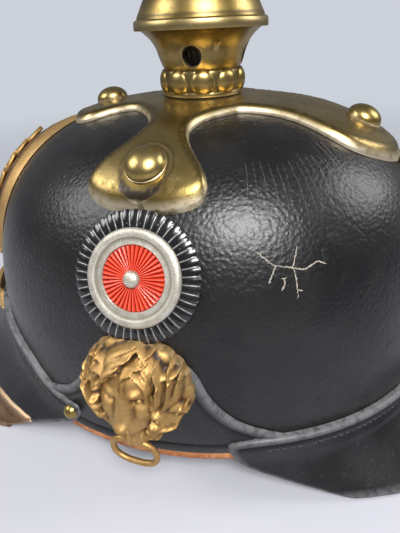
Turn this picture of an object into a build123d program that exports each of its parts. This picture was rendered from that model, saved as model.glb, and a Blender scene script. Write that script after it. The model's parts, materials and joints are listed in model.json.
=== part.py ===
"""Leather parade helmet with a removable spike, a crowned cross base and side fittings.

Frame: +Z up, the front of the helmet looks along -Y, its left side is +X.
The origin is on the floor, under the axis of the spike. All lengths are millimetres.
"""
from math import atan, cos, degrees, hypot, pi, radians, sin, sqrt
import os

from build123d import *

os.makedirs("parts", exist_ok=True)

# Skull shell
shell_half_width = 89.0
shell_half_length = 104.0
shell_height = 113.0
shell_wall = 3.0
base_height = 14.0            # lower edge of the shell above the floor
straight_wall = 20.0          # the shell's wall is upright up to here, the crown starts above it
crown_power = 2.45            # fullness of the crown seen from the side
plan_power = 3.0              # fullness of the shoulder
base_rise = 2.4               # the lower edge climbs by this much towards the rear visor's tip
front_arch = 17.0             # the lower edge lies this much higher over the brow
rear_arch = 5.0
overrun = 60.0                # length that cutting bodies run past what they cut
stretch = shell_half_length / shell_half_width
crest_turns = (0, 22, 42, 60, 76, 90)   # where the arcs of the shell's outline meet, in degrees
seat_halvings = 24
rim_steps = 16
seat_skirt = 2.0              # depth of the skirt that is fitted to the skin under a stud
head_overlap_share = 0.3
nut_corner_share = 1.25

# Clearances
seat_gap = 0.15               # between a piece and the skin that it lies on
joint_gap = 0.3               # between the edges of neighbouring pieces
shank_clearance = 0.1         # round a fixed shank in its hole
turn_clearance = 0.05         # round a pin or a screw that turns

# Cross base
cross_rise = 3.0              # top of the pressed plate above the shell
cross_sheet = 1.1
cross_side_reach = 70.5
cross_front_reach = 58.5
cross_rear_reach = 80.0
cross_crotch = 20.5           # plan distance of the inner corners from both middle planes
side_waist_half = 8.3
side_waist_at = 41.0
side_lobe_half = 20.6
side_lobe_at = 64.5
end_lobe_half = 26.0
front_lobe_at = 41.0
rear_lobe_at = 60.0

# Domed studs that hold the cross base
base_stud_radius = 7.0
base_stud_height = 5.2
base_stud_shank = 2.0
side_stud_at = 61.0
front_stud_at = 43.0
rear_stud_at = 64.5
washer_radius = 6.5
washer_thickness = 0.8
nut_half = 4.2
nut_thickness = 2.4
shank_end = 0.8               # shank left standing past its nut

# Neck, collar and spike
collar_height = 9.8
collar_foot_radius = 15.5
collar_bore = 14.0
petal_count = 10
petal_azimuth = 18.0
petal_half_width = 4.9
petal_bulge = 1.9
neck_wall = 1.2
neck_foot_radius = 13.7
neck_height = 24.6
neck_rim_radius = 25.2
neck_vent_radius = 3.5
neck_vent_height = 14.6
neck_vent_count = 4
neck_vent_azimuth = 5.5
spigot_radius = 10.5
spigot_length = 12.5
lock_ring_radius = 16.5
lock_ring_thickness = 3.2
neck_bore = 9.3
bush_seat_height = 8.0        # ledge inside the neck that carries the threaded bush
bush_flange_radius = 11.8
bush_flange_thickness = 2.6
bush_radius = 5.8
bush_length = 12.0
bush_air_radius = 1.1
bush_air_at = 7.6
bush_air_count = 6
screw_radius = 4.0
screw_length = 21.5
spike_washer_radius = 24.0
spike_washer_thickness = 0.8
spike_lip_radius = 26.1
spike_lip_drop = 1.4
spike_length = 96.0
spike_tip_radius = 2.0
spike_boss_radius = 9.0
spike_boss_thickness = 3.0

# Visors
visor_wall = 2.4
front_visor_reach = 140.0
front_visor_half_width = 90.0
front_visor_centre = 44.0
front_visor_top = 34.0
front_tip_at = 26.5
front_tip_height = 11.0
front_bend_tip = 4.0          # height of the bend at the visor's tip
front_bend_lift = 3.0         # the bend lies this much over the shell's edge at the brow
rear_visor_reach = 141.05
rear_visor_half_width = 81.0
rear_visor_centre = 45.0
rear_visor_top = 14.5
rear_tip_at = 32.0
rear_tip_height = 11.0
flare_power = 1.35
flare_steps = 4

# Visor trim
trim_wall = 0.8
trim_gap = 0.1
trim_stud_radius = 3.2
trim_stud_height = 2.8
trim_stud_shank = 1.2

# Side leather, sweatband and lining
side_centre = 2.5             # the cockade, lion and patch stand this far behind the middle
patch_wall = 1.5
patch_top = 60.0
patch_half_width = 49.5
patch_foot = 4.2
welt_height = 3.9
welt_wall = 1.3
sweatband_wall = 1.4
sweatband_low = 12.2
sweatband_high = 38.0
lining_wall = 1.2
lining_drop = 13.0            # room between the crown of the lining and the shell
lining_power = 2.0
lining_gap = 0.2
lining_low = 28.0
finger_count = 9
finger_slot_width = 4.0
finger_slot_reach = 66.0
lining_mouth = 17.0

# Cockade
cockade_height = 74.0
cockade_radius = 21.2
cockade_edge = 1.0            # thickness of the disc at its rim
cockade_back = 6.0            # the back of the disc reaches this far in before it is fitted to the shell
flute_count = 44
flute_radius = 0.95
ring_outer = 15.6
ring_inner = 10.4
ring_rise = 1.8
ring_lip = 0.5
centre_rise = 1.9
pleat_count = 40
pleat_radius = 0.42
button_radius = 2.7
button_height = 1.9
cockade_post = 1.5
small_nut_radius = 4.0
small_nut_thickness = 1.8

# Lion head and its ring
lion_height = 36.5
lion_half_width = 20.5
lion_half_height = 21.5
mane_depth = 7.0
mane_count = 15
mane_ring = 17.3
mane_tuft_radius = 4.1
mane_tuft_lift = 1.5
inner_mane_count = 11
inner_mane_ring = 12.6
inner_tuft_radius = 4.2
inner_tuft_lift = 5.2
lion_post_radius = 1.5
lion_post_spread = 9.0
lion_post_lift = 7.0
ring_wire = 1.1
ring_pivot_drop = 17.0
ring_pivot_out = 7.5
ring_half_width = 8.4
ring_drop = 12.0
ring_corner = 2.6
mouth_half_width = 5.6

# Front plate
plate_stand = 3.2             # the plate clears the visor's flange and the cross base
plate_sheet = 1.1
plate_centre_height = 66.0
plate_half_width = 44.0
plate_half_height = 41.0
shield_half_width = 18.0
shield_half_height = 22.0
shield_rise = 2.6
wreath_half_width = 33.0
wreath_half_height = 32.0
wreath_stem_half = 1.3
leaf_length = 12.5
leaf_half_width = 3.2
leaf_rise = 1.8
leaf_rows = 10
leaf_splay = 32.0             # angle between a leaf and the stem, in degrees
scroll_half_width = 53.0
scroll_half_height = 6.5
scroll_height = 31.0
scroll_rise = 1.2
scroll_notch = 7.0
plate_post_radius = 1.6
plate_post_side = 24.0

# Rear spine
spine_half_width = 5.5
spine_rise = 1.8
spine_foot = 15.5
spine_stud_radius = 3.0
spine_stud_height = 2.0
spine_stud_shank = 1.1
spine_stud_heights = (28.0, 60.0)

# Shares that shape the outlines
front_top_shares = ((0.019, 0.13), (0.084, 0.157), (0.155, 0.17), (0.265, 0.304), (0.394, 0.61),
                    (0.561, 0.804), (0.755, 0.935), (1.0, 1.0))
front_low_shares = ((0.02, 0.166), (0.084, 0.332), (0.161, 0.581), (0.303, 0.83), (0.432, 0.965),
                    (0.56, 1.0))
rear_top_shares = ((0.07, 0.75), (0.2, 1.0), (0.5, 1.05), (1.0, 1.0))
rear_low_shares = ((0.02, 0.22), (0.08, 0.40), (0.19, 0.62), (0.33, 0.84), (0.54, 1.0))
room_points = 3               # points of the lower edge that the room round a visor follows
trim_shares = ((-0.012, -0.16), (0.045, -0.25), (0.103, -0.14), (0.155, 0.10), (0.252, 0.40), (0.355, 0.58),
               (0.458, 0.644), (0.64, 0.712), (1.0, 0.784))
trim_end_round = 1.5          # the trim's end runs this much past the visor's tip
trim_room = 1.6               # the welt and the side patch keep this far off the trim
trim_stud_in = 4.0
trim_stud_up = 0.5
patch_shares = ((1.0, 0.0), (0.88, 0.18), (0.725, 0.40), (0.61, 0.465), (0.46, 0.58), (0.36, 0.71),
                (0.283, 0.88), (0.233, 1.0))
lobe_shares = ((0.48, 0.4),)
end_shares = ((0.62, 0.72),)
end_waist_half = 19.4
end_waist_share = 0.24        # where the front and rear arms are narrowest, along the way to the lobe
neck_shares = ((0.0, 0.0), (0.01, 0.2), (0.14, 0.386), (0.22, 0.467), (0.383, 0.69), (0.66, 0.87),
               (0.95, 0.975))
neck_funnel_share = 0.72      # where the funnel of the neck's inside starts, as a share of its height
lock_notch = 3.0
lock_notch_count = 4
spike_lip_rim = 1.4
spike_shares = ((0.94, 0.022), (0.80, 0.086), (0.54, 0.143), (0.36, 0.211), (0.268, 0.284), (0.20, 0.45),
                (0.12, 0.65), (0.05, 0.85))
leaf_first = 16.0             # first and last leaf, as angles from the foot of the wreath, in degrees
leaf_last = 152.0
cockade_seat_rise = 1.8       # face that carries the ring and the centre, above the shell
cockade_edge_in = 2.4
patch_room_half = 14.0        # the disc is relieved over the tip of the side patch across this half width
flute_bulge_share = 0.72
flute_dip = 14.0              # slope of the flutes, in degrees
lion_back = 2.0
ring_room = 4.0
lion_masses = (               # right, up, out and radius, as shares of the head's half width
    (0.0, 0.14, 0.02, 0.56), (0.0, -0.37, 0.34, 0.37), (0.34, -0.29, 0.24, 0.29), (0.27, 0.17, 0.44, 0.16),
    (0.0, -0.02, 0.46, 0.22), (0.0, -0.30, 0.63, 0.11), (0.0, -0.70, 0.29, 0.30), (0.54, 0.56, 0.22, 0.16))


def crest_arcs(half_width, crown, power):
    """Arcs of the shell's outline in the XZ plane, from the straight wall up to the crown."""
    def point(turn):
        out = half_width * cos(radians(turn)) ** (2 / plan_power) if turn < crest_turns[-1] else 0
        return out, crest_start + crown * sin(radians(turn)) ** (2 / power)
    arcs = []
    for start, end in zip(crest_turns, crest_turns[1:]):
        arcs.append((point(start), point((start + end) / 2), point(end)))
    return arcs


def round_egg(half_width, crown, power=crown_power):
    """Closed round body with an egg-shaped crown on an upright wall."""
    with BuildPart() as body:
        with BuildSketch(Plane.XZ):
            with BuildLine():
                Polyline((0, crest_start + crown), (0, cut_level), (half_width, cut_level),
                         (half_width, crest_start))
                for arc in crest_arcs(half_width, crown, power):
                    ThreePointArc(*arc)
            make_face()
        revolve(axis=Axis.Z)
    return body.part


def round_layer(inner, outer, power=crown_power):
    """Round skin between two outlines, each given by its half width and crown, open below."""
    (inner_half, inner_crown), (outer_half, outer_crown) = inner, outer
    with BuildPart() as skin:
        with BuildSketch(Plane.XZ):
            with BuildLine():
                Polyline((inner_half, crest_start), (inner_half, cut_level),
                         (outer_half, cut_level), (outer_half, crest_start))
                for half, crown in (inner, outer):
                    for arc in crest_arcs(half, crown, power):
                        ThreePointArc(*arc)
                Line((0, crest_start + inner_crown), (0, crest_start + outer_crown))
            make_face()
        revolve(axis=Axis.Z)
    return skin.part


def off_skin(stand_off):
    """Half width and crown of the outline at a distance off the outside of the shell."""
    return shell_half_width + stand_off, shell_height - straight_wall + stand_off


def lengthened(body):
    """The body drawn out from round to the oval plan of the shell."""
    with BuildPart() as work:
        add(body)
        scale(by=(1, stretch, 1))
    return work.part


def round_skin(inner, outer):
    """Round skin between two distances off the outside of the shell."""
    return round_layer(off_skin(inner), off_skin(outer))


domes = {}


def dome(stand_off):
    """Closed body whose skin stands off the outside of the shell by stand_off."""
    if stand_off not in domes:
        domes[stand_off] = lengthened(round_egg(*off_skin(stand_off)))
    return domes[stand_off]


def skin_sizes(stand_off):
    """Half width, half length and crown height of the offset skin."""
    wide, high = off_skin(stand_off)
    return wide, wide * stretch, high


def skin_plane(x, y, z, stand_off):
    """Plane on the offset skin at a point of it, its Z pointing out and its X level."""
    wide, long, high = skin_sizes(stand_off)
    oval = max(hypot(x / wide, y / long), 1e-9)
    slope = plan_power * oval ** (plan_power - 2)
    lift = max((z - crest_start) / high, 0)
    climb = crown_power * lift ** (crown_power - 1) / high
    out = Vector(slope * x / wide ** 2, slope * y / long ** 2, climb)
    level = Vector(0, 0, 1).cross(out)
    return Plane(origin=(x, y, z), x_dir=level, z_dir=out)


def top_plane(x, y, stand_off):
    """Plane on the offset skin over a point of the plan."""
    wide, long, high = skin_sizes(stand_off)
    oval = hypot(x / wide, y / long)
    return skin_plane(x, y, crest_start + high * (1 - oval ** plan_power) ** (1 / crown_power), stand_off)


def oval_share(height, stand_off):
    """Share of its full plan size that the offset skin keeps at a height over the datum."""
    lift = max(height - straight_wall, 0) / skin_sizes(stand_off)[2]
    return (1 - lift ** crown_power) ** (1 / plan_power)


def side_plane(y, height, stand_off):
    """Plane on the left side of the offset skin, at a distance behind the middle."""
    wide, long, high = skin_sizes(stand_off)
    x = wide * sqrt(oval_share(height, stand_off) ** 2 - (y / long) ** 2)
    return skin_plane(x, y, base_height + height, stand_off)


def front_plane(x, height, stand_off):
    """Plane on the front of the offset skin, at a distance from the middle plane."""
    wide, long, high = skin_sizes(stand_off)
    y = -long * sqrt(oval_share(height, stand_off) ** 2 - (x / wide) ** 2)
    return skin_plane(x, y, base_height + height, stand_off)


def rear_plane(height, stand_off):
    """Plane on the back of the offset skin, in the middle."""
    y = skin_sizes(stand_off)[1] * oval_share(height, stand_off)
    return skin_plane(0, y, base_height + height, stand_off)


def is_inside(point, stand_off):
    """Whether a point lies inside the offset skin."""
    wide, long, high = skin_sizes(stand_off)
    lift = max(point.Z - crest_start, 0) / high
    return hypot(point.X / wide, point.Y / long) ** plan_power + lift ** crown_power < 1


def seat_depth(plane, radius, stand_off):
    """How far under a plane a flat round face first lies wholly inside the offset skin."""
    near, deep = 0.0, overrun
    for _ in range(seat_halvings):
        middle = (near + deep) / 2
        rim = [plane.from_local_coords((radius * cos(turn), radius * sin(turn), -middle))
               for turn in (2 * pi * step / rim_steps for step in range(rim_steps))]
        if all(is_inside(point, stand_off) for point in rim):
            deep = middle
        else:
            near = middle
    return deep


def parallel(plane, right, up):
    """The plane moved in its own directions."""
    return Plane(origin=plane.from_local_coords((right, up, 0)), x_dir=plane.x_dir, z_dir=plane.z_dir)


def flipped(plane):
    """The same plane on the other side of the helmet."""
    return Plane(
        origin=(-plane.origin.X, plane.origin.Y, plane.origin.Z),
        x_dir=(-plane.x_dir.X, plane.x_dir.Y, plane.x_dir.Z),
        z_dir=(-plane.z_dir.X, plane.z_dir.Y, plane.z_dir.Z))


def both(planes):
    """The planes of the left side and those of the right side."""
    return list(planes) + [flipped(plane) for plane in planes]


def domed(plane, radius, height, skirt):
    """Domed head on a plane, with a round skirt below it."""
    bulge = (radius ** 2 + height ** 2) / (2 * height)
    half = atan(height / radius)
    middle = (bulge * sin(half), height - bulge + bulge * cos(half))
    with BuildPart() as body:
        with BuildSketch(Plane.XZ):
            with BuildLine():
                Polyline((0, height), (0, -skirt), (radius, -skirt), (radius, 0))
                ThreePointArc((radius, 0), middle, (0, height))
            make_face()
        revolve(axis=Axis.Z)
    return placed(body.part, plane)


def placed(body, plane):
    """The body, drawn round the origin, carried to a plane."""
    with BuildPart() as work:
        with Locations(plane):
            add(body)
    return work.part


def seated_rivet(plane, head_radius, head_height, shank_radius, shank_length, stand_off):
    """Rivet whose head is fitted to the offset skin that it sits on."""
    with BuildPart() as work:
        add(domed(plane, head_radius, head_height, seat_skirt))
        add(dome(stand_off + seat_gap), mode=Mode.SUBTRACT)
        with BuildSketch(plane.offset(head_height * head_overlap_share)):
            Circle(shank_radius)
        extrude(amount=-shank_length - head_height * head_overlap_share)
    return work.part


def disc(plane, radius, bore, thickness):
    """Round washer that starts at a plane and runs inwards."""
    with BuildPart() as body:
        with BuildSketch(plane):
            Circle(radius)
            Circle(bore, mode=Mode.SUBTRACT)
        extrude(amount=-thickness)
    return body.part


def square_nut(plane, half, bore, thickness):
    """Square nut that starts at a plane and runs inwards, its corners cut back."""
    with BuildPart() as body:
        with BuildSketch(plane):
            Rectangle(2 * half, 2 * half)
            Circle(nut_corner_share * half, mode=Mode.INTERSECT)
            Circle(bore, mode=Mode.SUBTRACT)
        extrude(amount=-thickness)
    return body.part


def base_edge(y):
    """Height of the shell's lower edge over the datum, along the sides."""
    return base_rise * y / rear_tip_at


crest_start = base_height + straight_wall
cut_level = -overrun / 2
far = shell_half_length + overrun
beyond = shell_half_width + overrun
neck_base = base_height + shell_height + cross_rise + seat_gap


# Visors
class Visor:
    """One visor: its flare, and its outline seen from the side."""

    def __init__(self, ahead, reach, half_width, centre, bend_tip, bend_end, tip_at, tip_height, edge, top,
                 top_shares, low_shares):
        self.ahead = ahead            # -1 towards the front, 1 towards the back
        self.reach = reach
        self.half_width = half_width
        self.centre = centre
        rise = (bend_end - bend_tip) / (shell_half_length - tip_at)
        self.tilt = degrees(atan(rise)) * -ahead
        self.bend_middle = bend_tip - rise * tip_at
        run = shell_half_length - tip_at
        self.tip = (ahead * tip_at, base_height + tip_height)
        drop = base_height + tip_height - edge
        self.upper = [(ahead * (tip_at + run * along), base_height + tip_height + (top - tip_height) * up)
                      for along, up in top_shares]
        self.lower = [(ahead * (tip_at + run * along), base_height + tip_height - drop * down)
                      for along, down in low_shares]

    def flare(self, stand_off):
        """Closed half body inside the flared skin at a distance off the visor's inner face."""
        with BuildPart() as body:
            for step in range(flare_steps + 1):
                down = step / flare_steps
                out = down ** flare_power
                tilt = radians(self.tilt * (1 - down))
                height = (base_height + self.bend_middle) * (1 - down)
                wide = shell_half_width * (1 - out) + self.half_width * out + stand_off
                long = shell_half_length * (1 - out) + (self.reach - self.centre) * out + stand_off * stretch
                slant = Plane(origin=(0, 0, height), x_dir=(1, 0, 0), z_dir=(0, sin(tilt), cos(tilt)))
                with BuildSketch(slant):
                    with Locations((0, self.ahead * self.centre * out / cos(tilt))):
                        Ellipse(long / cos(tilt), wide, rotation=-90 * self.ahead)
                    with Locations((0, -self.ahead * far)):
                        Rectangle(2 * far, 2 * far, mode=Mode.SUBTRACT)
            loft(ruled=True)
        return body.part

    def skin(self, inner, outer):
        """Flared half skin with the flange that stands on it."""
        tilt = radians(self.tilt)
        bend = Plane(origin=(0, 0, base_height + self.bend_middle), x_dir=(1, 0, 0),
                     z_dir=(0, sin(tilt), cos(tilt)))
        with BuildPart() as flange:
            add(lengthened(round_skin(inner, outer)))
            split(bisect_by=bend, keep=Keep.TOP)
            split(bisect_by=Plane.XZ, keep=Keep.TOP if self.ahead < 0 else Keep.BOTTOM)
        with BuildPart() as body:
            add(self.flare(outer))
            add(self.flare(inner), mode=Mode.SUBTRACT)
            add(flange.part)
        return body.part

    def above(self):
        """Body that fills everything over the visor, and behind its tip."""
        return self._beyond(self.upper, 2 * far)

    def below(self, shift=0.0):
        """Body that fills everything under the visor, and behind its tip."""
        return self._beyond([(y, z - shift) for y, z in self.lower], -far, shift)

    def _beyond(self, curve, limit, shift=0.0):
        """Body between a curve from the visor's tip and a level far away."""
        start, end = (self.tip[0] - self.ahead * shift, self.tip[1]), curve[-1]
        with BuildPart() as body:
            with BuildSketch(Plane.YZ):
                with BuildLine():
                    Spline(start, *curve)
                    Polyline(end, (self.ahead * 2 * far, end[1]), (self.ahead * 2 * far, limit),
                             (-self.ahead * 2 * far, limit), (-self.ahead * 2 * far, start[1]), start)
                make_face()
            extrude(amount=beyond, both=True)
        return body.part

    def room(self, above, below, narrow):
        """Body round the visor, larger by above and below, its lengths divided by narrow."""
        start = ((self.tip[0] - self.ahead * below) / narrow, self.tip[1])
        upper = [(y / narrow, z + above) for y, z in self.upper]
        lower = [((y - self.ahead * below) / narrow, z - below) for y, z in self.lower[:room_points]]
        with BuildPart() as body:
            with BuildSketch(Plane.YZ):
                with BuildLine():
                    Spline(start, *upper)
                    Spline(start, *lower)
                    Polyline(lower[-1], (lower[-1][0], -far), (self.ahead * 2 * far, -far),
                             (self.ahead * 2 * far, upper[-1][1]), upper[-1])
                make_face()
            extrude(amount=beyond, both=True)
        return body.part


front = Visor(-1, front_visor_reach, front_visor_half_width, front_visor_centre, front_bend_tip,
              front_arch + front_bend_lift, front_tip_at, front_tip_height, trim_wall + trim_gap,
              front_visor_top, front_top_shares, front_low_shares)
rear = Visor(1, rear_visor_reach, rear_visor_half_width, rear_visor_centre, base_rise - joint_gap,
             rear_arch - joint_gap, rear_tip_at, rear_tip_height, 0.0,
             rear_visor_top, rear_top_shares, rear_low_shares)

# Where the fastenings stand
base_stud_places = ((side_stud_at, 0), (-side_stud_at, 0), (0, -front_stud_at), (0, rear_stud_at))
base_stud_planes = [top_plane(x, y, cross_rise) for x, y in base_stud_places]
spine_stud_planes = [rear_plane(height, spine_rise) for height in spine_stud_heights]
visor_outside = seat_gap + visor_wall
trim_outside = visor_outside + trim_gap + trim_wall
trim_stud_left = side_plane(-front_tip_at - trim_stud_in, front_tip_height + trim_stud_up, trim_outside)
cockade_plane = side_plane(side_centre, cockade_height, 0)
lion_plane = side_plane(side_centre, lion_height, patch_wall + 2 * seat_gap)
lion_post_planes = [parallel(lion_plane, side * lion_post_spread, lion_post_lift) for side in (-1, 1)]
plate_post_planes = [front_plane(side * plate_post_side, plate_centre_height, plate_stand)
                     for side in (-1, 1)]

with BuildPart() as shell:
    add(lengthened(round_skin(-shell_wall, 0)))
    with BuildSketch(Plane.YZ):
        with BuildLine():
            Polyline(
                (-far, -far), (far, -far), (far, base_height + rear_arch),
                (shell_half_length, base_height + rear_arch),
                (rear_tip_at, base_height + base_edge(rear_tip_at)),
                (-front_tip_at, base_height + base_edge(-front_tip_at)),
                (-shell_half_length, base_height + front_arch), (-far, base_height + front_arch), close=True)
        make_face()
    extrude(amount=beyond, both=True, mode=Mode.SUBTRACT)
    with Locations((0, 0, base_height + shell_height + overrun / 2)):
        Hole(spigot_radius + shank_clearance, depth=overrun)
    with Locations(*base_stud_planes):
        Hole(base_stud_shank + shank_clearance, depth=overrun / 3)
    with Locations(*spine_stud_planes):
        Hole(spine_stud_shank + shank_clearance, depth=overrun / 3)
    with Locations(*both([trim_stud_left])):
        Hole(trim_stud_shank + shank_clearance, depth=overrun / 3)
    with Locations(*both([cockade_plane])):
        Hole(cockade_post + shank_clearance, depth=overrun / 3)
    with Locations(*both(lion_post_planes)):
        Hole(lion_post_radius + shank_clearance, depth=overrun / 3)
    with Locations(*plate_post_planes):
        Hole(plate_post_radius + shank_clearance, depth=overrun / 3)
shell.part.label = "shell"
export_step(shell.part, "parts/shell.step")

with BuildPart() as front_visor:
    add(front.skin(seat_gap, visor_outside))
    add(front.above(), mode=Mode.SUBTRACT)
    add(front.below(), mode=Mode.SUBTRACT)
    with Locations(*both([trim_stud_left])):
        Hole(trim_stud_shank + shank_clearance, depth=overrun / 3)
front_visor.part.label = "front_visor"
export_step(front_visor.part, "parts/front_visor.step")

with BuildPart() as rear_visor:
    add(rear.skin(seat_gap, visor_outside))
    add(rear.above(), mode=Mode.SUBTRACT)
    add(rear.below(), mode=Mode.SUBTRACT)
rear_visor.part.label = "rear_visor"
export_step(rear_visor.part, "parts/rear_visor.step")

# Brass trim round the edge of the front visor: a folded strip, open upwards
trim_run = shell_half_length - front_tip_at
trim_curve = [(-front_tip_at - trim_run * along, front.tip[1] * (1 - down)) for along, down in trim_shares]
trim_start = (-front_tip_at + trim_end_round, front.tip[1])
with BuildPart() as trim_channel:
    add(front.skin(seat_gap - trim_gap, visor_outside + trim_gap))
    add(front.below(trim_gap), mode=Mode.SUBTRACT)

with BuildPart() as front_visor_trim:
    add(front.skin(seat_gap - trim_gap - trim_wall, trim_outside))
    with BuildSketch(Plane.YZ):
        with BuildLine():
            Spline(trim_start, *trim_curve)
            Polyline(trim_curve[-1], (-2 * far, trim_curve[-1][1]), (-2 * far, 2 * far), (2 * far, 2 * far),
                     (2 * far, trim_start[1]), trim_start)
        make_face()
    extrude(amount=beyond, both=True, mode=Mode.SUBTRACT)
    add(front.below(trim_wall + trim_gap), mode=Mode.SUBTRACT)
    add(dome(seat_gap), mode=Mode.SUBTRACT)
    add(trim_channel.part, mode=Mode.SUBTRACT)
    with Locations(*both([trim_stud_left])):
        Hole(trim_stud_shank + shank_clearance, depth=overrun / 3)
front_visor_trim.part.label = "front_visor_trim"
export_step(front_visor_trim.part, "parts/front_visor_trim.step")

with BuildPart() as trim_studs:
    for plane in both([trim_stud_left]):
        add(seated_rivet(plane, trim_stud_radius, trim_stud_height, trim_stud_shank,
                         trim_outside + shell_wall - shank_clearance, trim_outside))
trim_studs.part.label = "trim_studs"
export_step(trim_studs.part, "parts/trim_studs.step")


# Side leather, welt, sweatband and lining
def front_and_rear_rooms():
    """Rooms round both visors, for cutting round skins."""
    return front.room(joint_gap, trim_room, stretch), rear.room(joint_gap, joint_gap, stretch)


side_edge = [(across * patch_half_width, base_height + up * patch_top) for up, across in patch_shares]
with BuildPart() as side_patch_left:
    add(round_skin(seat_gap, seat_gap + patch_wall))
    with BuildSketch(Plane.YZ):
        Rectangle(4 * far, 4 * far)
        with BuildSketch(Plane.YZ, mode=Mode.PRIVATE) as patch_face:
            with BuildLine():
                Spline(*[((side_centre + across) / stretch, up) for across, up in side_edge])
                Spline(*[((side_centre - across) / stretch, up) for across, up in side_edge])
                ends = [side_centre + patch_half_width, side_centre - patch_half_width]
                Polyline((ends[0] / stretch, side_edge[-1][1]),
                         *[(end / stretch, base_height + patch_foot + base_edge(end)) for end in ends],
                         (ends[1] / stretch, side_edge[-1][1]))
            make_face()
        add(patch_face.sketch_local, mode=Mode.SUBTRACT)
    extrude(amount=beyond, both=True, mode=Mode.SUBTRACT)
    split(bisect_by=Plane.YZ, keep=Keep.TOP)
    for room in front_and_rear_rooms():
        add(room, mode=Mode.SUBTRACT)
    scale(by=(1, stretch, 1))
    with Locations(*lion_post_planes):
        Hole(lion_post_radius + shank_clearance, depth=overrun / 3)
side_patch_left.part.label = "side_patch_left"
export_step(side_patch_left.part, "parts/side_patch_left.step")

with BuildPart() as base_welt_left:
    add(round_skin(seat_gap, seat_gap + welt_wall))
    with BuildSketch(Plane.YZ):
        Rectangle(4 * far, 4 * far)
        Polygon(*[(end / stretch, base_height + base_edge(end) + up) for end, up in (
            (-far, 0), (far, 0), (far, welt_height), (-far, welt_height))], align=None, mode=Mode.SUBTRACT)
    extrude(amount=beyond, both=True, mode=Mode.SUBTRACT)
    split(bisect_by=Plane.YZ, keep=Keep.TOP)
    for room in front_and_rear_rooms():
        add(room, mode=Mode.SUBTRACT)
    scale(by=(1, stretch, 1))
base_welt_left.part.label = "base_welt_left"
export_step(base_welt_left.part, "parts/base_welt_left.step")

with BuildPart() as side_patch_right:
    add(side_patch_left.part)
    mirror(about=Plane.YZ, mode=Mode.REPLACE)
side_patch_right.part.label = "side_patch_right"
export_step(side_patch_right.part, "parts/side_patch_right.step")

with BuildPart() as base_welt_right:
    add(base_welt_left.part)
    mirror(about=Plane.YZ, mode=Mode.REPLACE)
base_welt_right.part.label = "base_welt_right"
export_step(base_welt_right.part, "parts/base_welt_right.step")

band_outside = -shell_wall - joint_gap
with BuildPart() as sweatband:
    with BuildSketch(Plane.XY.offset(sweatband_low)):
        Circle(shell_half_width + band_outside)
        Circle(shell_half_width + band_outside - sweatband_wall, mode=Mode.SUBTRACT)
    extrude(amount=sweatband_high - sweatband_low)
    scale(by=(1, stretch, 1))
sweatband.part.label = "sweatband"
export_step(sweatband.part, "parts/sweatband.step")

lining_outside = band_outside - sweatband_wall - lining_gap
lining_crown = shell_height - straight_wall - lining_drop
with BuildPart() as lining_fingers:
    add(round_layer((shell_half_width + lining_outside - lining_wall, lining_crown - lining_wall),
                    (shell_half_width + lining_outside, lining_crown), lining_power))
    with BuildSketch(Plane.XY.offset(lining_low)):
        Rectangle(4 * far, 4 * far)
    extrude(amount=-far, mode=Mode.SUBTRACT)
    with BuildSketch(Plane.XY.offset(crest_start)):
        Circle(lining_mouth)
        with PolarLocations(finger_slot_reach / 2, finger_count):
            Rectangle(finger_slot_reach, finger_slot_width)
    extrude(amount=far, mode=Mode.SUBTRACT)
    scale(by=(1, stretch, 1))
lining_fingers.part.label = "lining_fingers"
export_step(lining_fingers.part, "parts/lining_fingers.step")


# Cross base
def half_arm(reach, lobe_half, lobe_at, waist_half, waist_at):
    """Points of half an arm, along and across it, from the inner corner to the end."""
    points = [(cross_crotch, cross_crotch), (waist_at, waist_half)]
    for along, across in lobe_shares:
        points.append((waist_at + (lobe_at - waist_at) * along,
                       waist_half + (lobe_half - waist_half) * across))
    points.append((lobe_at, lobe_half))
    for along, across in end_shares:
        points.append((lobe_at + (reach - lobe_at) * along, lobe_half * across))
    return points + [(reach, 0)]


side_arm = half_arm(cross_side_reach, side_lobe_half, side_lobe_at, side_waist_half, side_waist_at)
front_arm = half_arm(cross_front_reach, end_lobe_half, front_lobe_at, end_waist_half,
                     cross_crotch + (front_lobe_at - cross_crotch) * end_waist_share)
rear_arm = half_arm(cross_rear_reach, end_lobe_half, rear_lobe_at, end_waist_half,
                    cross_crotch + (rear_lobe_at - cross_crotch) * end_waist_share)


def drawn_in(arm, inset):
    """The points of half an arm, moved in from its edge by inset."""
    points = [(cross_crotch - inset, cross_crotch - inset)]
    for along, across in arm[1:-1]:
        points.append((along - inset * (along - cross_crotch) / (arm[-1][0] - cross_crotch), across - inset))
    return points + [(arm[-1][0] - inset, 0)]


def outside_cross(inset):
    """Body that fills everything beside the cross base, drawn in by inset."""
    with BuildPart() as body:
        with BuildSketch():
            Rectangle(4 * far, 4 * far)
            with BuildSketch(mode=Mode.PRIVATE) as face:
                with BuildLine():
                    side_points = drawn_in(side_arm, inset)
                    for across in (1, -1):
                        for fore, arm in ((1, rear_arm), (-1, front_arm)):
                            Spline(*[(across * a, fore * along / stretch) for along, a in drawn_in(arm, inset)])
                        for fore in (1, -1):
                            Spline(*[(across * along, fore * a / stretch) for along, a in side_points])
                make_face()
            add(face.sketch_local, mode=Mode.SUBTRACT)
        extrude(amount=2 * far)
    return body.part


with BuildPart() as cross_hollow:
    add(round_skin(seat_gap - cross_sheet, cross_rise - cross_sheet))
    add(outside_cross(cross_sheet), mode=Mode.SUBTRACT)

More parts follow.
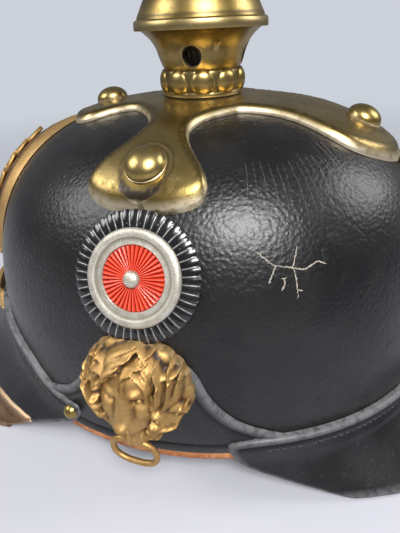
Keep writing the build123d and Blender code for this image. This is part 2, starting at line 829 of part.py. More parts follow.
with BuildPart() as cross_base:
    add(round_skin(seat_gap, cross_rise))
    add(outside_cross(0.0), mode=Mode.SUBTRACT)
    with BuildSketch(Plane.XY.offset(crest_start)):
        Rectangle(4 * far, 4 * far)
    extrude(amount=-far, mode=Mode.SUBTRACT)
    add(cross_hollow.part, mode=Mode.SUBTRACT)
    scale(by=(1, stretch, 1))
    with Locations((0, 0, base_height + shell_height + overrun / 2)):
        Hole(spigot_radius + shank_clearance, depth=overrun)
    with Locations(*base_stud_planes):
        Hole(base_stud_shank + shank_clearance, depth=overrun / 3)
cross_base.part.label = "cross_base"
export_step(cross_base.part, "parts/cross_base.step")

nut_depths = [seat_depth(plane, washer_radius, -shell_wall) for plane in base_stud_planes]
with BuildPart() as base_studs:
    for plane, depth in zip(base_stud_planes, nut_depths):
        add(seated_rivet(plane, base_stud_radius, base_stud_height, base_stud_shank,
                         depth + washer_thickness + nut_thickness + shank_end, cross_rise))
base_studs.part.label = "base_studs"
export_step(base_studs.part, "parts/base_studs.step")

with BuildPart() as stud_washers:
    for plane, depth in zip(base_stud_planes, nut_depths):
        add(disc(plane.offset(-depth), washer_radius, base_stud_shank + shank_clearance, washer_thickness))
stud_washers.part.label = "stud_washers"
export_step(stud_washers.part, "parts/stud_washers.step")

with BuildPart() as stud_nuts:
    for plane, depth in zip(base_stud_planes, nut_depths):
        add(square_nut(plane.offset(-depth - washer_thickness), nut_half, base_stud_shank, nut_thickness))
stud_nuts.part.label = "stud_nuts"
export_step(stud_nuts.part, "parts/stud_nuts.step")


# Neck and spike
def turned(points, level):
    """Body turned round the upright axis from points given by radius and height over a level."""
    with BuildPart() as body:
        with BuildSketch(Plane.XZ):
            Polygon(*[(radius, level + height) for radius, height in points], align=None)
        revolve(axis=Axis.Z)
    return body.part


neck_rings = [(neck_foot_radius + (neck_rim_radius - neck_foot_radius) * out, neck_height * up)
              for out, up in neck_shares]
petal_sphere = (petal_half_width ** 2 + petal_bulge ** 2) / (2 * petal_bulge)
petal_turns = [petal_azimuth + 360 * step / petal_count for step in range(petal_count)]
with BuildPart() as neck_collar:
    add(turned(((collar_bore, 0), (collar_foot_radius, 0),
                (collar_foot_radius + petal_bulge / 2, collar_height / 6),
                (collar_foot_radius, collar_height / 3), (collar_foot_radius + petal_bulge / 3, collar_height),
                (collar_bore + petal_bulge / 2, collar_height), (collar_bore, collar_height / 2)), neck_base))
    for turn in petal_turns:
        out = collar_foot_radius + petal_bulge - petal_sphere
        with Locations((out * cos(radians(turn)), out * sin(radians(turn)), neck_base + collar_height / 2)):
            Sphere(petal_sphere)
    with BuildSketch(Plane.XY.offset(neck_base)):
        Circle(collar_foot_radius * 2)
    extrude(amount=-far / 3, mode=Mode.SUBTRACT)
    with BuildSketch(Plane.XY.offset(neck_base + collar_height)):
        Circle(collar_foot_radius * 2)
    extrude(amount=far / 3, mode=Mode.SUBTRACT)
    add(turned([(0, -overrun), (neck_rings[0][0] + shank_clearance, -overrun)]
               + [(radius + shank_clearance, height) for radius, height in neck_rings]
               + [(0, neck_height)], neck_base), mode=Mode.SUBTRACT)
neck_collar.part.label = "neck_collar"
export_step(neck_collar.part, "parts/neck_collar.step")

ledge_radius = bush_flange_radius + turn_clearance
lock_top = seat_depth(Plane.XY.offset(neck_base), lock_ring_radius, -shell_wall)
vent_turns = [neck_vent_azimuth + 360 * step / neck_vent_count for step in range(neck_vent_count)]
with BuildPart() as neck:
    add(turned([(neck_bore, -spigot_length - lock_top), (spigot_radius, -spigot_length - lock_top),
                (spigot_radius, 0)] + neck_rings + [
                (neck_rim_radius, neck_height), (neck_rim_radius - 2 * neck_wall, neck_height),
                (ledge_radius, neck_height * neck_funnel_share), (ledge_radius, bush_seat_height),
                (neck_bore, bush_seat_height)], neck_base))
    for turn in vent_turns:
        mouth = Vector(cos(radians(turn)), sin(radians(turn)), 0)
        with Locations(Plane(origin=mouth * neck_rim_radius + Vector(0, 0, neck_base + neck_vent_height),
                             x_dir=(0, 0, 1), z_dir=mouth)):
            Hole(neck_vent_radius, depth=neck_rim_radius - bush_radius)
neck.part.label = "neck"
export_step(neck.part, "parts/neck.step")

with BuildPart() as neck_lock_ring:
    add(disc(Plane.XY.offset(neck_base - lock_top), lock_ring_radius, spigot_radius + turn_clearance,
             lock_ring_thickness))
    with PolarLocations(lock_ring_radius, lock_notch_count):
        with Locations((0, 0, neck_base - lock_top - lock_ring_thickness)):
            Box(lock_notch, lock_notch, 2 * lock_ring_thickness + lock_notch, mode=Mode.SUBTRACT)
neck_lock_ring.part.label = "neck_lock_ring"
export_step(neck_lock_ring.part, "parts/neck_lock_ring.step")

with BuildPart() as spike_bush:
    add(turned(((screw_radius + turn_clearance, 0), (bush_flange_radius, 0),
                (bush_flange_radius, bush_flange_thickness), (bush_radius, bush_flange_thickness),
                (bush_radius, bush_length), (screw_radius + turn_clearance, bush_length)),
               neck_base + bush_seat_height))
    with Locations((0, 0, neck_base + bush_seat_height)):
        with PolarLocations(bush_air_at, bush_air_count):
            Cylinder(bush_air_radius, 4 * bush_flange_thickness, mode=Mode.SUBTRACT)
spike_bush.part.label = "spike_bush"
export_step(spike_bush.part, "parts/spike_bush.step")

spike_foot = neck_base + neck_height + turn_clearance
with BuildPart() as spike_washer:
    add(disc(Plane.XY.offset(spike_foot + spike_washer_thickness), spike_washer_radius,
             screw_radius + turn_clearance, spike_washer_thickness))
spike_washer.part.label = "spike_washer"
export_step(spike_washer.part, "parts/spike_washer.step")

spike_seat = spike_foot + spike_washer_thickness + turn_clearance
spike_rings = [(spike_tip_radius + (spike_lip_radius - spike_tip_radius) * out, spike_length * up)
               for out, up in spike_shares]
top = spike_seat + spike_length - spike_tip_radius
with BuildPart() as spike:
    with BuildSketch(Plane.XZ):
        with BuildLine():
            Polyline((0, spike_seat + spike_boss_thickness),
                     (spike_boss_radius, spike_seat + spike_boss_thickness),
                     (spike_boss_radius, spike_seat), (neck_rim_radius + joint_gap, spike_seat),
                     (neck_rim_radius + joint_gap, spike_foot - spike_lip_drop),
                     (spike_lip_radius, spike_foot - spike_lip_drop), (spike_lip_radius, spike_seat + spike_lip_rim),
                     *[(radius, spike_seat + height) for radius, height in spike_rings], (spike_tip_radius, top))
            ThreePointArc((spike_tip_radius, top),
                          (spike_tip_radius * cos(pi / 4), top + spike_tip_radius * sin(pi / 4)),
                          (0, top + spike_tip_radius))
            Line((0, top + spike_tip_radius), (0, spike_seat + spike_boss_thickness))
        make_face()
    revolve(axis=Axis.Z)
spike.part.label = "spike"
export_step(spike.part, "parts/spike.step")

with BuildPart() as spike_stem:
    add(turned(((0, -screw_length), (screw_radius, -screw_length), (screw_radius, 0),
                (spike_boss_radius, 0), (spike_boss_radius, spike_boss_thickness),
                (0, spike_boss_thickness)), spike_seat))
spike_stem.part.label = "spike_stem"
export_step(spike_stem.part, "parts/spike_stem.step")


# Front plate with its wreath, shield and scroll
def leaves():
    """Lens outlines of the wreath, as base, tip and half width."""
    outlines = []
    for side in (-1, 1):
        for row in range(leaf_rows):
            turn = leaf_first + (leaf_last - leaf_first) * row / (leaf_rows - 1)
            base = (side * wreath_half_width * sin(radians(turn)), -wreath_half_height * cos(radians(turn)))
            for splay in (-leaf_splay, leaf_splay):
                heading = radians(turn + splay)
                tip = (base[0] + side * leaf_length * cos(heading), base[1] + leaf_length * sin(heading))
                outlines.append((base, tip))
    return outlines


def lens(base, tip, half_width):
    """Leaf outline between two points."""
    (x, z), (to_x, to_z) = base, tip
    run = hypot(to_x - x, to_z - z)
    across = (-(to_z - z) / run * half_width, (to_x - x) / run * half_width)
    middle = ((x + to_x) / 2, (z + to_z) / 2)
    ThreePointArc(base, (middle[0] + across[0], middle[1] + across[1]), tip)
    ThreePointArc(tip, (middle[0] - across[0], middle[1] - across[1]), base)


plate_face = Plane(origin=(0, 0, base_height + plate_centre_height), x_dir=(1, 0, 0), z_dir=(0, -1, 0))
scroll_down = scroll_height - plate_centre_height
scroll_points = (
    (-scroll_half_width, scroll_down - scroll_half_height), (scroll_half_width, scroll_down - scroll_half_height),
    (scroll_half_width - scroll_notch, scroll_down), (scroll_half_width, scroll_down + scroll_half_height),
    (-scroll_half_width, scroll_down + scroll_half_height), (-scroll_half_width + scroll_notch, scroll_down))


def raised(inner, outer, draw):
    """Piece of round skin at the front, inside an outline that draw adds to a sketch."""
    with BuildPart() as work:
        with BuildSketch(plate_face):
            draw()
        extrude(amount=far)
        add(round_skin(inner, outer), mode=Mode.INTERSECT)
        scale(by=(1, stretch, 1))
    return work.part


def draw_plate():
    """Outline of the backing sheet."""
    Ellipse(plate_half_width, plate_half_height)
    Polygon(*scroll_points, align=None)


def draw_wreath():
    """Stem ring and leaves."""
    Ellipse(wreath_half_width + wreath_stem_half, wreath_half_height + wreath_stem_half)
    Ellipse(wreath_half_width - wreath_stem_half, wreath_half_height - wreath_stem_half, mode=Mode.SUBTRACT)
    for base, tip in leaves():
        with BuildLine() as leaf:
            lens(base, tip, leaf_half_width)
        make_face(leaf.edges())
    with Locations((0, scroll_down)):
        Rectangle(4 * far, 2 * (scroll_half_height + joint_gap), mode=Mode.SUBTRACT)


def draw_shield():
    """Blank oval shield."""
    Ellipse(shield_half_width, shield_half_height)


def draw_scroll():
    """Blank scroll below the wreath."""
    Polygon(*scroll_points, align=None)


relief_foot = plate_stand + plate_sheet + seat_gap
plate_nut_depths = [seat_depth(plane, small_nut_radius, -shell_wall) for plane in plate_post_planes]
with BuildPart() as front_plate:
    add(raised(plate_stand, plate_stand + plate_sheet, draw_plate))
    for plane, depth in zip(plate_post_planes, plate_nut_depths):
        with BuildSketch(plane.offset(plate_sheet / 2)):
            Circle(plate_post_radius)
        extrude(amount=-plate_sheet / 2 - depth - small_nut_thickness - shank_end)
front_plate.part.label = "front_plate"
export_step(front_plate.part, "parts/front_plate.step")

with BuildPart() as plate_wreath:
    add(raised(relief_foot, relief_foot + leaf_rise, draw_wreath))
plate_wreath.part.label = "plate_wreath"
export_step(plate_wreath.part, "parts/plate_wreath.step")

with BuildPart() as plate_shield:
    add(raised(relief_foot, relief_foot + shield_rise, draw_shield))
plate_shield.part.label = "plate_shield"
export_step(plate_shield.part, "parts/plate_shield.step")

with BuildPart() as plate_scroll:
    add(raised(relief_foot, relief_foot + scroll_rise, draw_scroll))
plate_scroll.part.label = "plate_scroll"
export_step(plate_scroll.part, "parts/plate_scroll.step")

with BuildPart() as plate_nuts:
    for plane, depth in zip(plate_post_planes, plate_nut_depths):
        add(disc(plane.offset(-depth), small_nut_radius, plate_post_radius, small_nut_thickness))
plate_nuts.part.label = "plate_nuts"
export_step(plate_nuts.part, "parts/plate_nuts.step")

# Rear spine
with BuildPart() as rear_spine:
    add(round_skin(seat_gap, spine_rise))
    with BuildSketch(Plane.XZ):
        Rectangle(4 * far, 4 * far)
        with Locations((0, base_height + spine_foot)):
            Rectangle(2 * spine_half_width, far, align=(Align.CENTER, Align.MIN), mode=Mode.SUBTRACT)
    extrude(amount=beyond, both=True, mode=Mode.SUBTRACT)
    with BuildSketch():
        with Locations((0, (cross_rear_reach + joint_gap) / stretch)):
            Rectangle(4 * far, 4 * far, align=(Align.CENTER, Align.MAX))
    extrude(amount=2 * far, mode=Mode.SUBTRACT)
    scale(by=(1, stretch, 1))
    with Locations(*spine_stud_planes):
        Hole(spine_stud_shank + shank_clearance, depth=overrun / 3)
rear_spine.part.label = "rear_spine"
export_step(rear_spine.part, "parts/rear_spine.step")

with BuildPart() as spine_studs:
    for plane in spine_stud_planes:
        add(seated_rivet(plane, spine_stud_radius, spine_stud_height, spine_stud_shank,
                         spine_rise + shell_wall - shank_clearance, spine_rise))
spine_studs.part.label = "spine_studs"
export_step(spine_studs.part, "parts/spine_studs.step")

# Cockades, drawn round the origin and carried to the side
with BuildPart() as fluted_disc:
    with BuildSketch(Plane.XZ):
        with BuildLine():
            Polyline((cockade_post + shank_clearance, cockade_seat_rise),
                     (cockade_post + shank_clearance, -cockade_back), (cockade_radius, -cockade_back),
                     (cockade_radius, cockade_edge))
            ThreePointArc((cockade_radius, cockade_edge),
                          ((cockade_radius + ring_outer) / 2, cockade_seat_rise * flute_bulge_share),
                          (ring_outer, cockade_seat_rise))
            Line((ring_outer, cockade_seat_rise), (cockade_post + shank_clearance, cockade_seat_rise))
        make_face()
    revolve(axis=Axis.Z)
    with BuildSketch(Plane.XZ):
        Polygon((cockade_radius - cockade_edge_in, -cockade_back), (cockade_radius + overrun, -cockade_back),
                (cockade_radius + overrun, 0), (cockade_radius - cockade_edge_in, 0), align=None)
    revolve(axis=Axis.Z, mode=Mode.SUBTRACT)
    with PolarLocations(cockade_radius, flute_count):
        with Locations(Location((0, 0, cockade_seat_rise), (0, flute_dip, 0))):
            Cylinder(flute_radius, 2 * (cockade_radius - ring_outer), rotation=(0, 90, 0),
                     mode=Mode.SUBTRACT)

with BuildPart() as patch_room:
    add(round_skin(0, patch_wall + 2 * seat_gap))
    with BuildSketch(Plane.YZ):
        Rectangle(4 * far, 4 * far)
        with Locations((side_centre / stretch, base_height + patch_top + joint_gap)):
            Rectangle(2 * patch_room_half, far, align=(Align.CENTER, Align.MAX), mode=Mode.SUBTRACT)
    extrude(amount=beyond, both=True, mode=Mode.SUBTRACT)
    split(bisect_by=Plane.YZ, keep=Keep.TOP)
    scale(by=(1, stretch, 1))

with BuildPart() as cross_room:
    add(dome(cross_rise + seat_gap))
    with BuildSketch(Plane.XY.offset(top_plane(cross_side_reach, 0, 0).origin.Z - joint_gap)):
        Rectangle(4 * far, 4 * far)
    extrude(amount=-far, mode=Mode.SUBTRACT)

with BuildPart() as cockade_disc_left:
    add(placed(fluted_disc.part, cockade_plane))
    add(dome(seat_gap), mode=Mode.SUBTRACT)
    add(cross_room.part, mode=Mode.SUBTRACT)
    add(patch_room.part, mode=Mode.SUBTRACT)
cockade_disc_left.part.label = "cockade_disc_left"
export_step(cockade_disc_left.part, "parts/cockade_disc_left.step")

ring_foot = cockade_seat_rise + seat_gap
with BuildPart() as cockade_ring_left:
    add(placed(turned(((ring_inner, 0), (ring_outer, 0), (ring_outer, ring_rise),
                      (ring_outer - ring_lip, ring_rise),
                       (ring_outer - 2 * ring_lip, ring_rise - ring_lip),
                       (ring_inner + 2 * ring_lip, ring_rise - ring_lip), (ring_inner + ring_lip, ring_rise),
                       (ring_inner, ring_rise)), ring_foot), cockade_plane))
cockade_ring_left.part.label = "cockade_ring_left"
export_step(cockade_ring_left.part, "parts/cockade_ring_left.step")

with BuildPart() as pleated_centre:
    add(turned(((cockade_post + shank_clearance, 0), (ring_inner - joint_gap, 0),
                (ring_inner - joint_gap, centre_rise - ring_lip),
                (cockade_post + shank_clearance, centre_rise)), ring_foot))
    with PolarLocations(ring_inner, pleat_count):
        with Locations((0, 0, ring_foot + centre_rise - ring_lip)):
            Cylinder(pleat_radius, 2 * (ring_inner - button_radius - pleat_radius), rotation=(0, 90, 0),
                     mode=Mode.SUBTRACT)

with BuildPart() as cockade_centre_left:
    add(placed(pleated_centre.part, cockade_plane))
cockade_centre_left.part.label = "cockade_centre_left"
export_step(cockade_centre_left.part, "parts/cockade_centre_left.step")

cockade_top = ring_foot + centre_rise + seat_gap
cockade_nut_depth = seat_depth(cockade_plane, small_nut_radius, -shell_wall)
with BuildPart() as cockade_button_left:
    add(domed(cockade_plane.offset(cockade_top + shank_clearance), button_radius,
              button_height, shank_clearance))
    with BuildSketch(cockade_plane.offset(cockade_top + button_height / 3)):
        Circle(cockade_post)
    extrude(amount=-cockade_top - button_height / 3 - cockade_nut_depth - small_nut_thickness - shank_end)
cockade_button_left.part.label = "cockade_button_left"
export_step(cockade_button_left.part, "parts/cockade_button_left.step")

with BuildPart() as cockade_nut_left:
    add(disc(cockade_plane.offset(-cockade_nut_depth), small_nut_radius, cockade_post, small_nut_thickness))
cockade_nut_left.part.label = "cockade_nut_left"
export_step(cockade_nut_left.part, "parts/cockade_nut_left.step")

# Lion heads with their rings
patch_outside = seat_gap + patch_wall
lion_nut_depth = max(seat_depth(plane, small_nut_radius, -shell_wall) for plane in lion_post_planes)
mane_sphere = (lion_half_height ** 2 + mane_depth ** 2) / (2 * mane_depth)
with BuildPart() as lion_form:
    with Locations((0, 0, mane_depth - mane_sphere)):
        Sphere(mane_sphere)
    with PolarLocations(mane_ring, mane_count, start_angle=90):
        with Locations((0, 0, mane_tuft_lift)):
            Sphere(mane_tuft_radius)
    with PolarLocations(inner_mane_ring, inner_mane_count, start_angle=90):
        with Locations((0, 0, inner_tuft_lift)):
            Sphere(inner_tuft_radius)
    for right, up, out, radius in lion_masses:
        for side in ((-1, 1) if right else (1,)):
            with Locations((side * right * lion_half_width, up * lion_half_width, out * lion_half_width)):
                Sphere(radius * lion_half_width)
    with BuildSketch(Plane.XY):
        Circle(2 * mane_sphere)
        Circle(lion_half_height, mode=Mode.SUBTRACT)
    extrude(amount=2 * mane_sphere, both=True, mode=Mode.SUBTRACT)
    with BuildSketch(Plane.XY.offset(-lion_back)):
        Circle(2 * mane_sphere)
    extrude(amount=-2 * mane_sphere, mode=Mode.SUBTRACT)
ring_centre = lion_plane.from_local_coords((0, -ring_pivot_drop, ring_pivot_out))
ring_plane = Plane(origin=ring_centre, x_dir=(0, 1, 0), z_dir=(1, 0, 0))
with BuildPart() as lion_head_left:
    add(placed(lion_form.part, lion_plane))
    add(dome(patch_outside + seat_gap), mode=Mode.SUBTRACT)
    with BuildSketch(cockade_plane.offset(-cockade_back)):
        Circle(cockade_radius + joint_gap)
    extrude(amount=cockade_back + cockade_seat_rise, mode=Mode.SUBTRACT)
    with Locations(ring_plane):
        Cylinder(ring_wire + turn_clearance, overrun, rotation=(0, 90, 0), mode=Mode.SUBTRACT)
        with Locations(*[(side * (mouth_half_width + overrun / 2), 0, 0) for side in (-1, 1)]):
            Box(overrun, 2 * ring_room, 2 * ring_room, mode=Mode.SUBTRACT)
    for plane in lion_post_planes:
        with BuildSketch(plane.offset(lion_post_radius)):
            Circle(lion_post_radius)
        extrude(amount=-lion_post_radius - lion_nut_depth - small_nut_thickness - shank_end)
lion_head_left.part.label = "lion_head_left"
export_step(lion_head_left.part, "parts/lion_head_left.step")

with BuildPart() as lion_nuts_left:
    for plane in lion_post_planes:
        add(disc(plane.offset(-lion_nut_depth), small_nut_radius, lion_post_radius, small_nut_thickness))
lion_nuts_left.part.label = "lion_nuts_left"
export_step(lion_nuts_left.part, "parts/lion_nuts_left.step")

with BuildPart() as lion_ring_left:
    with BuildLine(ring_plane) as ring_path:
        Polyline((0, 0), (ring_half_width, 0), (ring_half_width, -ring_drop), (-ring_half_width, -ring_drop),
                 (-ring_half_width, 0), (0, 0))
        fillet(ring_path.vertices().filter_by(lambda v: abs(v.Y - ring_plane.origin.Y) > ring_corner),
               ring_corner)
    with BuildSketch(Plane(origin=ring_centre, x_dir=(1, 0, 0), z_dir=(0, 1, 0))):
        Circle(ring_wire)
    sweep()
lion_ring_left.part.label = "lion_ring_left"
export_step(lion_ring_left.part, "parts/lion_ring_left.step")

# The right side mirrors the left
for name, left in (("cockade_disc_right", cockade_disc_left), ("cockade_ring_right", cockade_ring_left),
                   ("cockade_centre_right", cockade_centre_left), ("cockade_button_right", cockade_button_left),
                   ("cockade_nut_right", cockade_nut_left), ("lion_head_right", lion_head_left),
                   ("lion_nuts_right", lion_nuts_left), ("lion_ring_right", lion_ring_left)):
    with BuildPart() as right:
        add(left.part)
        mirror(about=Plane.YZ, mode=Mode.REPLACE)
    right.part.label = name
    export_step(right.part, f"parts/{name}.step")
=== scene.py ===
"""A spiked leather helmet of the nineteenth century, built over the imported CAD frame.

Sizes are in millimetres until a piece becomes a mesh. The front points to -Y,
the photographed side to +X and the floor is at z = 0.
"""

from __future__ import annotations

import json
import logging
import math
from dataclasses import dataclass
from enum import Enum
from typing import Callable, Sequence

import bmesh
import bpy
import numpy as np
from mathutils import Matrix, Vector
from mathutils.geometry import delaunay_2d_cdt

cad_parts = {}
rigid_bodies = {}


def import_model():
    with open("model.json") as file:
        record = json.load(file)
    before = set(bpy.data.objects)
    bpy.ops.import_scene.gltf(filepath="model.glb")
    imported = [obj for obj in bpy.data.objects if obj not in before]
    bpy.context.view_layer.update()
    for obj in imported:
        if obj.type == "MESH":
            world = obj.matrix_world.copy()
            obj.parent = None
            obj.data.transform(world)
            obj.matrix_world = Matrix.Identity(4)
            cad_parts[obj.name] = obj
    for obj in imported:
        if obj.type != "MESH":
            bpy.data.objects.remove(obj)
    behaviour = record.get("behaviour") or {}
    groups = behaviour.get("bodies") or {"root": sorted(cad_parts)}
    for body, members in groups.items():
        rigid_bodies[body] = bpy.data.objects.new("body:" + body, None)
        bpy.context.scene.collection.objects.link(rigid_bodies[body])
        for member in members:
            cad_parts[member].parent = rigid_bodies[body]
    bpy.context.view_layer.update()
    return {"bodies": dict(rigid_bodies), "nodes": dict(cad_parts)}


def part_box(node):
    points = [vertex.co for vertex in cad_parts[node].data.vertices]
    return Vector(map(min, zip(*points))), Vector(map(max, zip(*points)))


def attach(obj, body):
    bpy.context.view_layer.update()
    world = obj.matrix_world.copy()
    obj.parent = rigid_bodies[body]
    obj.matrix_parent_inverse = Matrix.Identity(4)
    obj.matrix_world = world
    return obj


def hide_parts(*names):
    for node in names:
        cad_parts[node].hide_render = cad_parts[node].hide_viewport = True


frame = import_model()
log = logging.getLogger("helmet")
Array = np.ndarray
Field = Callable[..., Array]
MM = 1000                     # millimetres in a metre
HALF_WIDTH = 89               # half the skull's outside, at its lower edge
HALF_LENGTH = 104
RATIO = HALF_LENGTH / HALF_WIDTH
HEM = 14                      # height of the skull's lower edge at its sides
HEM_RISE = 2.4                # the edge climbs this much to the rear over the run
HEM_RUN = 32
SEAT = .15                    # a sheet of leather or brass lies this far off the skull
MERGE = 1e-6                  # points closer than this, in metres, are one
MIX_SOCKETS = (0, 6, 7)       # factor and both colours of a Mix node


class Slot(Enum):
    """Material slots of the record that pieces take their finish from."""

    SHELL = "shell_leather"
    VISOR = "visor_leather"
    TRIM = "brass_trim"
    BRASS = "brass"
    GILT = "gilt"
    WELT = "welt"
    TAN = "tan_leather"
    FELT = "felt"
    IRON = "iron"
    BLACK = "black_lacquer"
    SILVER = "silver"
    RED = "red_lacquer"


@dataclass(frozen=True)
class Finish:
    """How one material slot looks; colours are linear RGB, lengths metres."""

    slot: Slot
    colour: tuple[float, float, float]
    second: tuple[float, float, float]
    dark: tuple[float, float, float]
    edge: tuple[float, float, float]
    rough: float = 0.4
    metal: float = 0.0
    scale: float = 60.0
    blotch: float = 0.5
    cavity: float = 0.0
    wear_and_highlight: float = 0.0
    specks: float = 0.0
    grain: float = 900.0
    pebble: float = 0.0
    depth: float = 0.0001
    strength: float = 0.3
    coat: float = 0.0


FINISHES = {
    f.slot: f
    for f in (
        Finish(Slot.SHELL, (.0045, .0045, .005), (.009, .0088, .009),
               (.002, .002, .002), (.035, .033, .032), rough=.33, scale=45, wear_and_highlight=.3,
               specks=.5, grain=760, pebble=1, depth=.0003, strength=.5, coat=.08),
        Finish(Slot.VISOR, (.005, .005, .0055), (.011, .011, .012), (.002, .002, .002),
               (.13, .13, .135), rough=.38, cavity=.7, wear_and_highlight=.62, specks=.3, pebble=.5,
               depth=.0003, coat=.08),
        Finish(Slot.TRIM, (.27, .155, .085), (.36, .22, .12), (.06, .03, .015),
               (.50, .38, .26), rough=.38, metal=1, scale=90, blotch=.6, cavity=.6,
               wear_and_highlight=.5, specks=.2, grain=1500, depth=.0002, strength=.2),
        # Brass: the dark colour also paints shade inside the neck and its vents and a
        # reflection band above the spike's lip; the edge colour paints a highlight on the
        # spike's lip and, with polish residue, along the cross base's edge
        Finish(Slot.BRASS, (.33, .235, .075), (.42, .315, .13), (.014, .008, .004),
               (.58, .50, .36), rough=.31, metal=1, cavity=.85, wear_and_highlight=.75, specks=.3,
               grain=1500, depth=.0002, strength=.18),
        Finish(Slot.GILT, (.35, .205, .07), (.44, .275, .105), (.03, .014, .005),
               (.55, .37, .17), rough=.49, metal=.85, scale=110, blotch=.35, cavity=.9,
               wear_and_highlight=.3, specks=.15, grain=1900, depth=.0002, strength=.25),
        Finish(Slot.WELT, (.30, .10, .03), (.42, .18, .07), (.03, .015, .008),
               (.50, .30, .15), rough=.55, scale=160, blotch=.8, cavity=.2, wear_and_highlight=.4,
               specks=.9, grain=1600, pebble=.4, depth=.0003, strength=.5),
        Finish(Slot.TAN, (.30, .17, .08), (.38, .24, .12), (.10, .05, .025),
               (.45, .30, .17), rough=.6, blotch=.6, cavity=.3, wear_and_highlight=.4, specks=.3,
               grain=1100, pebble=.6, depth=.0004, strength=.5),
        Finish(Slot.FELT, (.10, .085, .07), (.14, .12, .10), (.04, .03, .025),
               (.16, .14, .12), rough=.95, scale=200, cavity=.2, wear_and_highlight=.2, specks=.3,
               grain=2600, depth=.0006, strength=.9),
        Finish(Slot.IRON, (.22, .21, .20), (.30, .28, .26), (.10, .05, .03),
               (.42, .41, .40), rough=.45, metal=1, scale=150, blotch=.7, cavity=.3,
               wear_and_highlight=.3, specks=.4, grain=1800, depth=.0002),
        # Black lacquer: the edge colour paints the light lines between the cockade's
        # flutes, bare metal and painted highlight together
        Finish(Slot.BLACK, (.003, .003, .0035), (.008, .008, .009), (.002, .002, .002),
               (.34, .33, .31), rough=.13, scale=120, blotch=.4, cavity=.2, wear_and_highlight=.8,
               specks=.5, grain=1600, strength=.1, coat=.6),
        Finish(Slot.SILVER, (.44, .41, .34), (.56, .53, .46), (.13, .11, .07),
               (.72, .70, .64), rough=.46, metal=.75, scale=300, blotch=.55, cavity=.75,
               wear_and_highlight=.4, specks=1, grain=2400, depth=.0003, strength=.45),
        # Red lacquer: the edge colour paints highlights on the pleat crests and the dark
        # colour paints shade in their grooves
        Finish(Slot.RED, (.60, .032, .010), (.72, .05, .016), (.10, .004, .002),
               (.95, .30, .20), rough=.18, scale=200, blotch=.3, cavity=.85, wear_and_highlight=.3,
               specks=.3, grain=1500, strength=.15, coat=.7),
    )
}


class NodeTree:
    """A short way of adding and linking shader or geometry nodes."""

    def __init__(self, tree: bpy.types.NodeTree) -> None:
        """Keep the tree that nodes are added to."""
        self.tree = tree

    def add(self, kind: str, **values: object) -> bpy.types.Node:
        """Add a node.

        Args:
            kind: The node's type name.
            **values: Properties to set on it.

        Returns:
            The node.
        """
        node = self.tree.nodes.new(kind)
        for key, value in values.items():
            setattr(node, key, value)
        return node

    def link(self, source: object, target: object) -> None:
        """Link two sockets."""
        self.tree.links.new(source, target)

    def maths(self, operation: str, first: object, second: object) -> object:
        """Add a maths node.

        Args:
            operation: What it does.
            first: A socket or a number.
            second: A socket or a number.

        Returns:
            Its result socket.
        """
        node = self.add("ShaderNodeMath", operation=operation)
        for socket, value in zip(node.inputs, (first, second)):
            if isinstance(value, (int, float)):
                socket.default_value = value
            else:
                self.link(value, socket)
        return node.outputs[0]

    def mix(self, share: object, first: object, second: object) -> object:
        """Add a colour mix.

        Args:
            share: How much of the second colour, a socket or a number.
            first: A socket or a colour.
            second: A socket or a colour.

        Returns:
            Its colour socket.
        """
        node = self.add("ShaderNodeMix", data_type="RGBA")
        for index, value in zip(MIX_SOCKETS, (share, first, second)):
            if isinstance(value, (int, float, tuple)):
                node.inputs[index].default_value = value
            else:
                self.link(value, node.inputs[index])
        return node.outputs[2]

    def spread(self, value: object, low: float, high: float) -> object:
        """Add a smooth step.

        Args:
            value: The socket to read.
            low: Where the result is still 0.
            high: Where it has reached 1.

        Returns:
            Its result socket.
        """
        node = self.add("ShaderNodeMapRange", interpolation_type="SMOOTHSTEP")
        self.link(value, node.inputs[0])
        node.inputs[1].default_value = low
        node.inputs[2].default_value = high
        return node.outputs[0]


def new_group(name: str, inputs: dict[str, str], outputs: dict[str, str]) -> tuple:
    """Make an empty shader group.

    Args:
        name: The group's name.
        inputs: Socket types by input name.
        outputs: Socket types by output name.

    Returns:
        The group, its node helper, its input node and its output node.
    """
    group = bpy.data.node_groups.new(name, "ShaderNodeTree")
    for side, names in (("INPUT", inputs), ("OUTPUT", outputs)):
        for key, kind in names.items():
            group.interface.new_socket(name=key, in_out=side, socket_type=kind)
    tree = NodeTree(group)
    return group, tree, tree.add("NodeGroupInput"), tree.add("NodeGroupOutput")


FLOAT = "NodeSocketFloat"
COLOUR = "NodeSocketColor"


